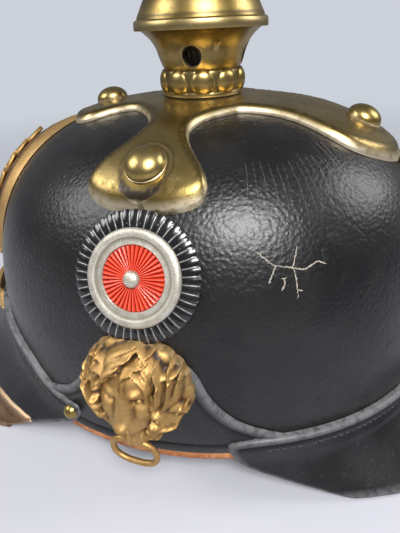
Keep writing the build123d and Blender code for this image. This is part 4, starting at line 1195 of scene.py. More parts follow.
def rear_visor() -> Visor:
    """Return the rear visor's sizes."""
    return Visor(
        "rear_visor", ahead=1, reach=141.05, half=81, centre=45, tilt=-2.07, bend=.944,
        tip=32, depth=72, low_top=25, rise=3.5, fall=25,
        top=((.07, .75), (.2, 1), (.5, 1.05), (1, 1)),
        low=((.02, .22), (.08, .40), (.19, .62), (.33, .84), (.54, 1), (1, 1)),
        limit=1.255)


@dataclass
class Trim:
    """The folded brass strip round the front visor."""

    off: float = 3.45
    width: float = 5.6
    wider: float = 1.6            # added in the middle, fading towards the ends
    half_turn: float = 1.262      # half the angle that the strip spans
    round_turn: float = .047      # its ends are rounded over this angle
    bead: float = 1.75            # radius of the rolled edge
    hem: float = 1.1              # radius of the fold under the visor
    lowest: float = .05           # no point lies below this height

    def build(self, visor: Visor) -> None:
        """Make the strip and the bead round its edge.

        Args:
            visor: The visor that it is folded round.
        """
        s, upper, lower = visor.edges()
        keep = np.abs(s) < visor.scale * self.half_turn
        s, upper, lower = s[keep], upper[keep], lower[keep]
        width = self.width + self.wider * np.cos(s / visor.scale)
        inner = np.minimum(lower + width, upper - .6)
        start = self.half_turn - self.round_turn
        ends = np.clip((np.abs(s) - visor.scale * start)
                       / (visor.scale * self.round_turn), 0, 1)
        middle = (inner + lower - .7) / 2
        half = (inner - lower + .7) / 2 * np.sqrt(1 - ends ** 2 * .98)
        outline = np.vstack([np.column_stack([s, middle + half]),
                             np.column_stack([s, middle - half])[::-1]])

        def lift(edge: Array, u: Array, v: Array) -> Array:
            """Return the outer face with the lip along its edge."""
            lip = .35 * bell(edge, .8, .45)
            return self.off - .35 - .55 * (1 - np.clip(edge / .6, 0, 1)) ** 2 + lip

        def hollow(edge: Array, u: Array, v: Array) -> Array:
            """Return the dirt inside the lip."""
            return bell(edge, 1.9, .8) * .8

        surface = sheet(outline, visor.place, lift, self.off - 1, spacing=1.3,
                        rows=(.2, .45, .8, 1.2, 1.9), band=1.3, hollow=hollow)
        path = visor.place(s, lower - .25, np.full(len(s), 1.35))
        bead = tube(path, self.bead, sides=14)
        bead.rim = np.full(len(bead.points), .35)
        under = visor.place(s, lower + 2.2, np.full(len(s), -.35))
        bead = bead + tube(under, self.hem, sides=8)
        bead.points[:, 2] = np.maximum(bead.points[:, 2], self.lowest)
        make_piece("visor_trim", surface + bead, Slot.TRIM, ["front_visor_trim"])


def dome(radius: float, height: float, place: Field, foot: float = 0.0,
         residue: float = .5) -> Surface:
    """Make a domed stud with a small flat edge.

    Args:
        radius: The stud's radius.
        height: The dome's height.
        place: Places it in space.
        foot: Height at which it stands.
        residue: How bright its edge is worn.

    Returns:
        The closed surface.
    """
    line = [(0.02, foot - .6), (radius * .96, foot - .6), (radius, foot),
            (radius, foot + .35)]
    for share in np.linspace(0, 1, 14):
        turn = share * math.pi / 2
        line.append((radius * .97 * math.cos(turn) + .02,
                     foot + .45 + (height - .45) * math.sin(turn)))
    return lathe(line, 40, place=place, hollow=lambda r, t, h: np.zeros_like(r),
                 rim=lambda r, t, h: np.clip((foot + .7 - h) / .5, 0, 1) * residue * 2)


def surface_place(point: Callable[[float, float, float], Array], a: float,
                  b: float) -> Field:
    """Make a place function square to a surface.

    Args:
        point: Takes two coordinates and a stand-off, returns points on the surface.
        a: First coordinate of the place.
        b: Second coordinate of the place.

    Returns:
        A function from two coordinates and a height to points.
    """
    def at(first: float, second: float) -> Array:
        """Return one point of the surface."""
        return point(np.array([first]), np.array([second]), np.zeros(1))[0]

    step = .05
    origin = at(a, b)
    right = at(a + step, b) - origin
    up = at(a, b + step) - origin
    out = np.cross(right, up)
    return plane_place(origin, right, out / np.linalg.norm(out))


@dataclass
class Crown:
    """Cross-shaped base, studs, collar with petals, neck and spike."""

    side_arm: tuple = ((20.5, 20.5), (41, 8.3), (52.28, 13.22), (64.5, 20.6),
                       (68.22, 14.83), (70.5, 0))
    front_arm: tuple = ((20.5, 20.5), (25.42, 19.4), (32.9, 22.04), (41, 26),
                        (51.85, 18.72), (58.5, 0))
    rear_arm: tuple = ((20.5, 20.5), (29.98, 19.4), (44.39, 22.04), (60, 26),
                       (72.4, 18.72), (80, 0))
    skin: float = 3.0
    base_hole: float = 12.5
    stud_spots: tuple = ((61, 0), (-61, 0), (0, -43), (0, 64.5))
    stud_radius: float = 7
    stud_height: float = 5.2
    neck_base: float = 130.15
    petals: int = 10
    petal_turn: float = 18        # angle of the first petal, in degrees
    petal_half: float = 5.1
    petal_rise: float = 2.2
    rear_petal_rise: float = 1.3
    vents: int = 4
    vent_turn: float = 5.5
    vent_height: float = 14.6
    vent_radius: float = 3.4
    vent_depth: float = 4.7
    neck_rings: tuple = ((0, 0), (.01, .2), (.14, .386), (.22, .467), (.383, .69),
                         (.66, .87), (.95, .975))
    spike_rings: tuple = ((.94, .022), (.80, .086), (.54, .143), (.36, .211),
                          (.268, .284), (.20, .45), (.12, .65), (.05, .85))

    def outline(self) -> Array:
        """Draw the base's outline in plan.

        Returns:
            The closed outline.
        """
        def arm(half: tuple) -> Array:
            """Return one arm's outline from its half."""
            mirrored = [(a, -b) for a, b in half[-2::-1]]
            return smooth_curve([*half, *mirrored], 220)[:-1]
        loops = []
        for half, turn in ((self.side_arm, 0), (self.rear_arm, 1), (self.side_arm, 2),
                           (self.front_arm, 3)):
            line = arm(half)[::-1]
            c, s = (1, 0, -1, 0)[turn], (0, 1, 0, -1)[turn]
            loops.append(np.column_stack([line[:, 0] * c - line[:, 1] * s,
                                          line[:, 0] * s + line[:, 1] * c]))
        loop = resample(np.vstack(loops), .6)
        for _ in range(14):
            loop = (np.roll(loop, -1, 0) + 2 * loop + np.roll(loop, 1, 0)) / 4
        return loop

    def base(self) -> None:
        """Make the base sheet and its four studs."""
        loop = self.outline()

        def lift(edge: Array, u: Array, v: Array) -> Array:
            """Return the upper face with its rolled edge."""
            near = np.clip(1 - edge / 2.6, 0, 1)
            return self.skin - 1.9 * near ** 2.1 + .1 * bell(edge, 2.2, .7)

        def hollow(edge: Array, u: Array, v: Array) -> Array:
            """Return the darkening along the edge, round the studs and round the collar."""
            studs = np.min([np.hypot(u - a, v - b) for a, b in self.stud_spots], axis=0)
            return np.clip(.55 * bell(edge, 2.2, 1.4) + .8 * bell(studs, 8.2, .9)
                           + .7 * bell(np.hypot(u, v), 16.3, 1.1), 0, 1)

        # The narrow edge band paints the pale line along the rolled edge: polish residue
        # and a painted highlight together
        surface = sheet(loop, FORM.top, lift, SEAT, spacing=1.25,
                        rows=(.15, .35, .6, .85, 1.1, 1.6), band=.95, hollow=hollow,
                        hole=self.base_hole)
        make_piece("cross_base_sheet", surface, Slot.BRASS, ["cross_base"])
        studs = [dome(self.stud_radius, self.stud_height, surface_place(
            lambda a, b, o: FORM.top(a, b, o + self.skin), a, b))
            for a, b in self.stud_spots]
        make_piece("dome_studs", united(studs), Slot.BRASS, ["base_studs"])

    def collar(self) -> None:
        """Make the beaded collar with its ring of petals."""
        rows = [(14, 0), (15.2, 0)]
        rows += [(15.3, h) for h in np.linspace(0, 9.8, 44)]
        rows += [(14.9, 9.95), (14.2, 9.9), (14, 9.6), (14, 4.9)]

        def petal(t: Array, h: Array) -> Array:
            """Return how far a petal stands out, from 0 to 1."""
            step = 2 * math.pi / self.petals
            away = (np.mod(t - math.radians(self.petal_turn) + step / 2, step)
                    - step / 2) * 17
            tall = (h - 5.6) / 4.3
            oval = (1 - np.abs(away / self.petal_half) ** 2.3
                    - np.abs(np.clip(tall, -1, 1)) ** 2.2)
            return np.sqrt(np.maximum(oval, 0))

        def warp(r: Array, t: Array, h: Array) -> tuple:
            """Return the outside with its bead and both rows of petals."""
            outside = r > 15.25
            bead = .9 * np.sqrt(np.maximum(1 - ((h - 1.2) / 1.2) ** 2, 0))
            behind = petal(t + math.pi / self.petals, h - .5) * (h < 9.7)
            shape = np.maximum(self.petal_rise * petal(t, h), self.rear_petal_rise * behind)
            shape = np.maximum(bead, shape)
            return np.where(outside, 15.5 + shape, r), h

        def hollow(r: Array, t: Array, h: Array) -> Array:
            """Return the dirt between the petals."""
            seam = bell(petal(t, h), .12, .16)
            return np.where(r > 15.25, seam * (h > 2.0) * .9, 0)

        def rim(r: Array, t: Array, h: Array) -> Array:
            """Return the bright wear of the foot."""
            return np.where(h < 1.0, .8, 0)

        place = plane_place((0, 0, self.neck_base - .15), (1, 0, 0), (0, 0, 1))
        surface = lathe(rows, 400, warp=warp, place=place, hollow=hollow, rim=rim)
        make_piece("petal_collar", surface, Slot.BRASS, ["neck_collar"])

    def neck(self) -> None:
        """Make the trumpet-shaped neck with four rimmed vents."""
        curve = smooth_curve(self.neck_rings, 60)
        outer = [(13.7 + 11.5 * a, 24.6 * b) for a, b in curve]
        outer += [(25.35, 24.2), (25.4, 24.6), (24.9, 24.75)]
        inner = [(22.8, 24.6), (17.5, 20.6), (13.4, 17.0), (12.3, 12), (11.85, 8),
                 (9.3, 8), (9.3, 6.6), (12.2, 6.4), (12.6, 0)]
        count, vent_circle = 576, 17
        vents = [math.radians(self.vent_turn + 360 / self.vents * k)
                 for k in range(self.vents)]
        place = plane_place((0, 0, self.neck_base), (1, 0, 0), (0, 0, 1))

        def near(t: Array, h: Array, r: float) -> Array:
            """Return the distance to the nearest vent's middle."""
            gaps = [np.hypot((np.mod(t - v + math.pi, 2 * math.pi) - math.pi) * r,
                             h - self.vent_height) for v in vents]
            return np.min(gaps, axis=0)

        def warp(r: Array, t: Array, h: Array) -> tuple:
            """Return the wall with its vents, their lips and one dent."""
            gap = near(t, h, vent_circle)
            wall = r > 13.69
            lip = .14 * np.exp(-((gap - self.vent_radius - .5) / .35) ** 2)
            sink = self.vent_depth * np.clip((self.vent_radius - gap) / .25, 0, 1)
            dent = .5 * np.exp(-(((t - .62) * 20) ** 2 + (h - 18.2) ** 2) / 1.2)
            return np.where(wall & (h < 23), r + lip - sink - dent, r), h

        def hollow(r: Array, t: Array, h: Array) -> Array:
            """Return painted shade inside the neck and its vents, the stains round the
            vents, and darkening at the foot and under the lip.
            """
            gap = near(t, h, vent_circle)
            # Painted shade: the insides of the vents are filled with the dark colour
            inside_vent = np.clip((3.7 - gap) / .3, 0, 1) * 1.45
            stain = .1 * bell(gap, 4.4, .8)
            foot = .35 * np.clip(1 - h / 1.6, 0, 1)
            top = .3 * bell(h, 23.1, .7)
            # Painted shade over the whole inner wall of the neck
            inner = (r < 13.55) | ((h < 22) & (r < 14) & (h > 1))
            return np.where(inner, 1.4, inside_vent + stain + foot + top)

        def rim(r: Array, t: Array, h: Array) -> Array:
            """Return the bright wear of the vents' lips."""
            return .35 * bell(near(t, h, vent_circle), 3.8, .25)

        dense = resample(np.array(outer), .36, closed=False).tolist()
        surface = lathe([*dense, *inner], count, warp=warp, place=place, hollow=hollow,
                        rim=rim)
        make_piece("neck_funnel", surface, Slot.BRASS, ["neck"])

    def spike(self) -> None:
        """Make the spike with its rolled lip, and its felt washer."""
        curve = smooth_curve(((1, 0), *self.spike_rings, (0, 1)), 150)
        curve = curve[curve[:, 1] < .985]
        line = [(25.5, 153.45), (26.0, 153.5), (26.1, 154.2), (26.0, 156.2),
                (25.4, 157.0), (24.7, 157.05)]
        line += [(2 + 24.1 * a, 155.65 + 96 * b) for a, b in curve if b > .022]
        tip = 249.65
        line += [(2 * math.cos(q) + .01, tip + 2 * math.sin(q))
                 for q in np.linspace(.1, math.pi / 2, 8)]
        line += [(.01, 240), (1.2, 215), (3.0, 190), (7, 174), (14, 165.5),
                 (23, 158), (24.4, 156.3), (25.2, 155.5)]

        def hollow(r: Array, t: Array, h: Array) -> Array:
            """Return a painted reflection: a dark band just above the lip and a fainter one
            higher up.
            """
            return .7 * bell(h, 157.9, .7) + .35 * bell(h, 163, 3)

        def rim(r: Array, t: Array, h: Array) -> Array:
            """Return the painted highlight on the lip and the bright wear of the tip."""
            return .35 * bell(h, 155.2, 1.2) + .5 * (h > 249)

        make_piece("spike_skin", lathe(line, 128, hollow=hollow, rim=rim), Slot.BRASS,
                   ["spike"], "spike", 50)
        disc = [(4.05, 154.8), (24, 154.8), (24.1, 155.2), (24, 155.58), (4.05, 155.58)]
        rings = [(4.05, 154.8), *[(r, 154.8) for r in np.linspace(6, 23, 9)], *disc[1:4],
                 *[(r, 155.58) for r in np.linspace(23, 6, 9)], disc[4]]

        def fluff(r: Array, t: Array, h: Array) -> tuple:
            """Return the felt's slightly uneven edge."""
            wave = .03 * np.sin(9 * t + r) + .02 * np.sin(23 * t - 2 * r)
            return r + wave * (r > 20), h

        make_piece("felt_washer", lathe(rings, 96, warp=fluff), Slot.FELT, ["spike_washer"],
                   "spike_washer")

    def build(self) -> None:
        """Make every piece of the crown."""
        self.base()
        self.collar()
        self.neck()
        self.spike()


@dataclass
class Cockade:
    """Fluted black disc, silver ring, pleated red centre and button."""

    y: float = 2.5
    z: float = 88
    radius: float = 21.2
    cells: int = 44
    pleats: int = 40

    def build(self) -> None:
        """Make both cockades."""
        place = surface_place(FORM.side, self.y, self.z)
        line = [(.02, .1), (15, .1), (20.8, .1), (21.1, .5)]
        line += [(r, 1.15 + 1.3 * (1 - ((r - 15.6) / 5.6) ** 2.4))
                 for r in np.linspace(21.15, 15.6, 16)]
        line += [(15.2, 1.9), (.02, 1.9)]

        def phase(t: Array) -> Array:
            """Return 0 in the middle of a flute and 1 between two."""
            return np.abs(np.mod(t * self.cells / (2 * math.pi), 1) - .5) * 2

        def warp(r: Array, t: Array, h: Array) -> tuple:
            """Return the fluted face with a thin line between the flutes."""
            window = np.clip((r - 15.9) / .5, 0, 1) * (h > .3)
            bulge = .42 * np.sqrt(1 - phase(t) ** 2) * window
            crest = .38 * np.exp(-((1 - phase(t)) / .12) ** 2) * window
            return r - .5 * phase(t) ** 4 * (r > 20.5), h + bulge + crest - .45 * window

        def ridge(r: Array, t: Array, h: Array) -> Array:
            """Return the light lines between the flutes, bare metal and painted highlight
            together.
            """
            return np.exp(-((1 - phase(t)) / .11) ** 2) * (r > 15.7) * (h > .6) * .8

        disc = lathe(line, 528, warp=warp, place=place, rim=ridge)
        ring = lathe([(10.4, 1.95), (10.35, 3.1), (10.6, 3.4), (11.4, 3.3), (12.2, 3.3),
                      (12.6, 3.4), (12.9, 3.85), (13.6, 4.05), (14.5, 4.0), (15.2, 3.7),
                      (15.6, 3.1), (15.62, 1.95)], 128, place=place,
                     hollow=lambda r, t, h: bell(r, 12.45, .3) + .7 * (h < 2.6),
                     rim=lambda r, t, h: .7 * bell(r, 13.0, .3))
        face = [(.02, 1.95), (10.2, 1.95), (10.25, 2.9)]
        face += [(r, 3.35 + .45 * (1 - r / 10.1)) for r in np.linspace(10.1, .02, 22)]

        def pleat(r: Array, t: Array, h: Array) -> tuple:
            """Return the pleated face."""
            wave = np.abs(np.sin(t * self.pleats / 2))
            return r, h - (.75 * (1 - wave) * np.clip(r / 9, .15, 1)) * (h > 3)

        def groove(r: Array, t: Array, h: Array) -> Array:
            """Return the painted shade in the grooves between the pleats."""
            return (1 - np.abs(np.sin(t * self.pleats / 2))) ** 1.5 * .9

        # The pleat crests get a painted highlight in the red's light edge colour
        centre = lathe(face, 480, warp=pleat, place=place, hollow=groove,
                       rim=lambda r, t, h: .5 * (np.abs(np.sin(t * self.pleats / 2)) > .96))
        button = dome(2.7, 2.0, place, foot=3.9, residue=0)
        for side in ("left", "right"):
            parts = ((disc, Slot.BLACK, "disc"), (ring, Slot.SILVER, "ring"),
                     (centre, Slot.RED, "centre"), (button, Slot.SILVER, "button"))
            for surface, slot, name in parts:
                shape = surface if side == "left" else surface.mirrored()
                make_piece(f"{side}_cockade_{name}_skin", shape, slot,
                           [f"cockade_{name}_{side}"])


@dataclass
class Lion:
    """Lion's head as a height field over the side of the skull."""

    y: float = 2.5
    z: float = 50.5
    stand: float = 1.8
    locks: int = 24
    face_up: float = .8
    ring_middle: tuple[float, float, float] = (98.90, 2.673, 28.1)
    ring_half: float = 8.35
    ring_half_drop: float = 5.9
    ring_power: float = .82       # 1 gives an oval, less a squarer ring
    ring_wire: float = 1.12

    def edge(self, angle: Array) -> Array:
        """Shape the mane's scalloped outline.

        Args:
            angle: Angles from the top.

        Returns:
            The mane's radius at each.
        """
        low = np.clip(-np.cos(angle), 0, 1)
        scallop = .55 * np.abs(np.sin(angle * self.locks / 2 + .4)) - .3
        return 20.1 - 2.9 * np.sin(np.abs(angle)) ** 4 * low * 2 - .4 * low + scallop

    def strands(self) -> list[tuple[Array, Array, Array]]:
        """Lay out the mane's locks.

        Returns:
            Points, half widths and heights of every lock.
        """
        random = np.random.default_rng(7)
        t = np.linspace(0, 1, 26)
        found = []
        rows = ((24, 10.5, 1.0, 2.3, 10.2, 5.4, 0.0), (17, 9.6, .88, 2.1, 11.4, 8.4, .5),
                (13, 8.4, .76, 1.8, 12.2, 10.6, .25))
        for count, start, outer, width, high, low, shift in rows:
            for k in range(count):
                a = 2 * math.pi * (k + shift) / count
                if start < 10 and math.cos(a) < (-.6 if start > 9 else -.05):
                    continue
                lean = math.hypot(math.sin(a) / 9.8, math.cos(a) / 12.2)
                inner = 1 / lean + self.face_up * math.cos(a) - .9
                side = 1 if math.sin(a) >= 0 else -1
                bend = random.uniform(.09, .19) * side * random.choice((1, 1, -.6))
                angle = a + bend * np.sin(t * math.pi * 1.5) - bend * 1.1 * t ** 2
                end = max(self.edge(np.array([a]))[0] * outer, inner + 3)
                reach = inner + (end - inner) * t
                line = np.column_stack([np.sin(angle), np.cos(angle)]) * reach[:, None]
                size = width * (.55 + .45 * np.sin(math.pi * t ** .8))
                size = size * (1 - .55 * t ** 3) * random.uniform(.9, 1.1)
                rise = high + (low - high) * t ** 1.3 + random.uniform(-.4, .4)
                rise = rise - 3.4 * (1 - np.clip(t * 3, 0, 1)) ** 2
                found.append((line, size, rise))
        return found

    def height(self, u: Array, v: Array) -> Array:
        """Shape the head with its locks, beard and face.

        Args:
            u: Lengths to the rear from the head's middle.
            v: Heights over it.

        Returns:
            Heights above the head's plane.
        """
        angle = np.arctan2(u, v)
        part = np.clip(np.hypot(u, v) / self.edge(angle), 0, 1)
        field = 1.0 + 4.6 * np.sqrt(1 - part ** 2)

        def join(a: Array, b: Array, soft: float) -> Array:
            """Return the higher of two heights, blended where they meet."""
            near = np.maximum(soft - np.abs(a - b), 0) / soft
            return np.maximum(a, b) + near ** 2 * soft / 4

        for line, size, rise in self.strands():
            run = line[1:] - line[:-1]
            away = np.stack([u[:, None] - line[:-1, 0], v[:, None] - line[:-1, 1]], -1)
            along = np.clip((away * run).sum(-1) / (run ** 2).sum(1), 0, 1)
            gap = away - along[..., None] * run
            far = np.hypot(gap[..., 0], gap[..., 1])
            k = far.argmin(1)
            row = np.arange(len(u))
            at = k + along[row, k]
            knots = np.arange(len(line))
            side = np.sign(gap[row, k, 0] * run[k, 1] - gap[row, k, 1] * run[k, 0])
            share = side * far[row, k] / np.interp(at, knots, size)
            crest = np.interp(at, knots, rise) - 3.9 * share ** 2 - .4 * share
            comb = .3 * (bell(share, .35, .13) + bell(share, -.3, .13))
            field = np.where(np.abs(share) < 1, join(field, crest - comb, .35), field)

        w = np.abs(u)
        beard = 1 - (u / 6.6) ** 2 - ((v + 15.4) / 4.6) ** 2
        tufts = .35 * np.cos(u * 2.6 + .3 * v)
        field = np.where(beard > 0, join(field, 4.2 + tufts + 6.0 * np.sqrt(
            np.maximum(beard, 0)), .6), field)

        def soft(across: float, up: float, wide: float, tall: float) -> Array:
            """Return a soft bump on both sides of the face."""
            return np.exp(-((w - across) / wide) ** 2 - ((v - up) / tall) ** 2)

        inner = 1 - (u / 9.8) ** 2 - ((v - self.face_up) / 12.2) ** 2
        v = v - self.face_up
        face = 7.2 + 3.2 * np.sqrt(np.maximum(inner, 0)) - 9 * (inner < 0)
        nose = np.clip((6.6 - v) / 3, 0, 1) * np.clip((v + 7.5) / 2.0, 0, 1)
        along = np.clip((6 - v) / 12, 0, 1)
        brows = 1.6 * soft(3.8, 6.2, 2.5, 1.3)
        forehead = .8 * soft(0, 8.6, 4.0, 2.2)
        bridge = nose * (1.3 + 1.0 * along) * np.exp(-(w / (2.1 + 1.3 * along)) ** 4)
        muzzle = 3.1 * soft(0, -7.2, 5.0, 3.8)
        nose_tip = .7 * soft(0, -4.8, 2.4, 1.3)
        lips = 1.2 * soft(3.0, -8.0, 2.1, 1.9)
        cheeks = 1.4 * soft(6.4, -1.0, 2.2, 3.2)
        chin = 2.2 * soft(0, -14.0, 4.4, 2.4)
        detail = brows + forehead + bridge + muzzle + nose_tip + lips + cheeks + chin
        sockets = 3.0 * soft(4.6, 3.2, 1.9, 1.15)
        eyes = 1.9 * soft(4.6, 3.0, 1.05, .65)
        nostrils = 1.6 * soft(2.0, -6.0, .8, .5)
        philtrum = .9 * np.exp(-(w / .45) ** 2) * (v < -6.6) * (v > -10.6)
        mouth = 2.8 * np.exp(-((v + 11.1 - .03 * w ** 2) / .75) ** 2) * (w < 6.5)
        frown = .8 * soft(.9, 7.6, .4, 1.7)
        creases = .8 * soft(3.4, -.4, .8, 2.6)
        cut = sockets - eyes + nostrils + philtrum + mouth + frown + creases
        whole = join(field * (inner < .12) + 3 * (inner >= .12), face, .9)
        inside_face = np.clip(inner * 6 + .35, 0, 1)
        return np.clip(whole + (detail - cut) * inside_face, .9, 15.45)

    def build(self) -> None:
        """Make both heads."""
        turn = np.linspace(0, 2 * math.pi, 420, endpoint=False)
        turn = np.where(turn > math.pi, turn - 2 * math.pi, turn)
        reach = self.edge(turn)
        loop = np.column_stack([np.sin(turn), np.cos(turn)]) * reach[:, None]
        loop[:, 1] = np.maximum(loop[:, 1], -20.3)

        def place(u: Array, v: Array, off: Array) -> Array:
            """Return points on the side of the skull."""
            return FORM.side(self.y + u, self.z + v, self.stand + off)

        def lift(edge: Array, u: Array, v: Array) -> Array:
            """Return the head's height, rounded down at its edge."""
            return np.minimum(self.height(u, v), .8 + 7.2 * np.sqrt(edge))

        def hollow(edge: Array, u: Array, v: Array) -> Array:
            """Return how deep a point lies below its surroundings."""
            here = self.height(u, v)
            around = np.mean([self.height(u + r * math.cos(a), v + r * math.sin(a))
                              for r in (.8, 1.7) for a in np.arange(0, 6.2, 1.05)], axis=0)
            return np.clip((around - here) / 1.4 + .04, 0, 1)

        head = sheet(loop, place, lift, -1.5, spacing=.36, rows=(.2, .4), band=.4,
                     hollow=hollow)
        make_pair("lion_skin", head, Slot.GILT, "lion_head", sharp=75)
        steps = 72
        t = np.linspace(0, 2 * math.pi, steps, endpoint=False)
        c, s = np.cos(t), np.sin(t)
        x, y, z = self.ring_middle
        across = self.ring_half * np.sign(c) * np.abs(c) ** self.ring_power
        up = self.ring_half_drop * np.sign(s) * np.abs(s) ** self.ring_power
        path = np.column_stack([np.full(steps, x), y + across, z + up])
        ring = tube(path, self.ring_wire, sides=14, closed=True, up=(1, 0, 0))
        make_pair("ring_skin", ring, Slot.GILT, "lion_ring", "ring")


def scatter_tree() -> bpy.types.NodeTree:
    """Node tree that puts a shape on every point of a mesh, turned by its values.

    Returns:
        The group.
    """
    group = bpy.data.node_groups.new("Scatter", "GeometryNodeTree")
    for name, kind in (("Points", "Geometry"), ("Shape", "Object"), ("Size", "Float"),
                       ("Spread", "Float"), ("Seed", "Int"), ("Finish", "Material")):
        group.interface.new_socket(name=name, in_out="INPUT",
                                   socket_type="NodeSocket" + kind)
    group.interface.new_socket(name="Points", in_out="OUTPUT",
                               socket_type="NodeSocketGeometry")
    tree = NodeTree(group)
    start, end = tree.add("NodeGroupInput"), tree.add("NodeGroupOutput")
    put = tree.add("GeometryNodeInstanceOnPoints")
    shape = tree.add("GeometryNodeObjectInfo")
    turn = tree.add("GeometryNodeInputNamedAttribute", data_type="FLOAT_VECTOR")
    turn.inputs["Name"].default_value = "turn"
    spin = tree.add("FunctionNodeEulerToRotation")
    vary = tree.add("FunctionNodeRandomValue", data_type="FLOAT")
    tree.link(start.outputs["Shape"], shape.inputs["Object"])
    tree.link(start.outputs["Points"], put.inputs["Points"])
    tree.link(shape.outputs["Geometry"], put.inputs["Instance"])
    tree.link(turn.outputs[0], spin.inputs[0])
    tree.link(spin.outputs[0], put.inputs["Rotation"])
    low = tree.maths("SUBTRACT", 1.0, start.outputs["Spread"])
    high = tree.maths("ADD", 1.0, start.outputs["Spread"])
    tree.link(low, vary.inputs[2])
    tree.link(high, vary.inputs[3])
    tree.link(start.outputs["Seed"], vary.inputs["Seed"])
    size = tree.maths("MULTIPLY", vary.outputs[1], start.outputs["Size"])
    tree.link(size, put.inputs["Scale"])
    whole = tree.add("GeometryNodeRealizeInstances")
    paint = tree.add("GeometryNodeSetMaterial")
    tree.link(put.outputs[0], whole.inputs[0])
    tree.link(whole.outputs[0], paint.inputs[0])
    tree.link(start.outputs["Finish"], paint.inputs["Material"])
    tree.link(paint.outputs[0], end.inputs[0])
    return group


def scatter(name: str, shape: Surface, spots: Array, turns: Array, slot: Slot,
            spread: float, nodes: Sequence[str] = ()) -> bpy.types.Object:
    """Put one small shape on many spots with geometry nodes.

    Args:
        name: The piece's name.
        shape: The shape, lying in X and Y with its height along Z.
        spots: Places in millimetres.
        turns: Euler angles of every place.
        slot: Its finish.
        spread: Share by which sizes differ.
        nodes: CAD nodes that the piece stands for.

    Returns:
        The piece.
    """
    small = mesh_of(name + "_shape", shape)
    small.shade_smooth()
    pattern = bpy.data.objects.new(name + "_shape", small)
    dots = bpy.data.meshes.new(name + "_points")
    dots.from_pydata((spots / MM).tolist(), [], [])
    made = dots.attributes.new("turn", "FLOAT_VECTOR", "POINT")
    made.data.foreach_set("vector", turns.astype(np.float32).ravel())
    holder = bpy.data.objects.new(name + "_points", dots)
    show(holder)
    show(pattern)
    nodes_of = holder.modifiers.new("scatter", "NODES")
    group = bpy.data.node_groups.get("Scatter") or scatter_tree()
    nodes_of.node_group = group
    values = {"Shape": pattern, "Size": 1.0, "Spread": spread, "Seed": 11,
              "Finish": PAINTS.get(slot)}
    for item in group.interface.items_tree:
        if item.in_out == "INPUT" and item.name in values:
            nodes_of[item.identifier] = values[item.name]
    ready = holder.evaluated_get(bpy.context.evaluated_depsgraph_get())
    mesh = bpy.data.meshes.new_from_object(ready)
    holder.modifiers.clear()
    for thing in (holder, pattern):
        bpy.data.objects.remove(thing)
    piece = bpy.data.objects.new(name, mesh)
    show(piece)
    if not mesh.materials:
        mesh.materials.append(PAINTS.get(slot))
    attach(piece, HOME)
    if nodes:
        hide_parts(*nodes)
    log.info("%s: %d faces from nodes", name, len(mesh.polygons))
    return piece


def leaf_shape(length: float, half: float, rise: float) -> Surface:
    """Make a pointed leaf with a midrib.

    Args:
        length: From its foot, at the origin, along Y.
        half: Half its width.
        rise: Its height along Z.

    Returns:
        The closed surface.
    """
    rows, columns, wall = 11, 9, .6
    along = np.linspace(0, 1, rows)
    across = np.linspace(-1, 1, columns)
    t, c = np.meshgrid(along, across, indexing="ij")
    wide = half * np.sin(math.pi * t ** .8) ** .8 + .12
    x, y = c * wide, t * length
    z = rise * (.35 + .65 * (1 - c ** 2)) * (1 - .5 * t) + .3 * np.exp(-(c / .14) ** 2)
    top = np.column_stack([x.ravel(), y.ravel(), z.ravel()])
    low = top * (1, 1, 0) - (0, 0, wall)
    grid = np.arange(rows * columns).reshape(rows, columns)
    faces = ribbon_grid(grid, wrap=False, closed=False)
    tri = np.array([g for f in faces for g in ((f[0], f[1], f[2]), (f[0], f[2], f[3]))])
    points, joined = close_up(top, low, tri)
    veins = np.clip(np.abs(c.ravel()) - .1, 0, 1) * .5 * (np.abs(c.ravel()) < .4)
    return Surface(points, joined, np.tile(.6 * (np.abs(c.ravel()) < .1), 2),
                   np.tile(veins, 2))


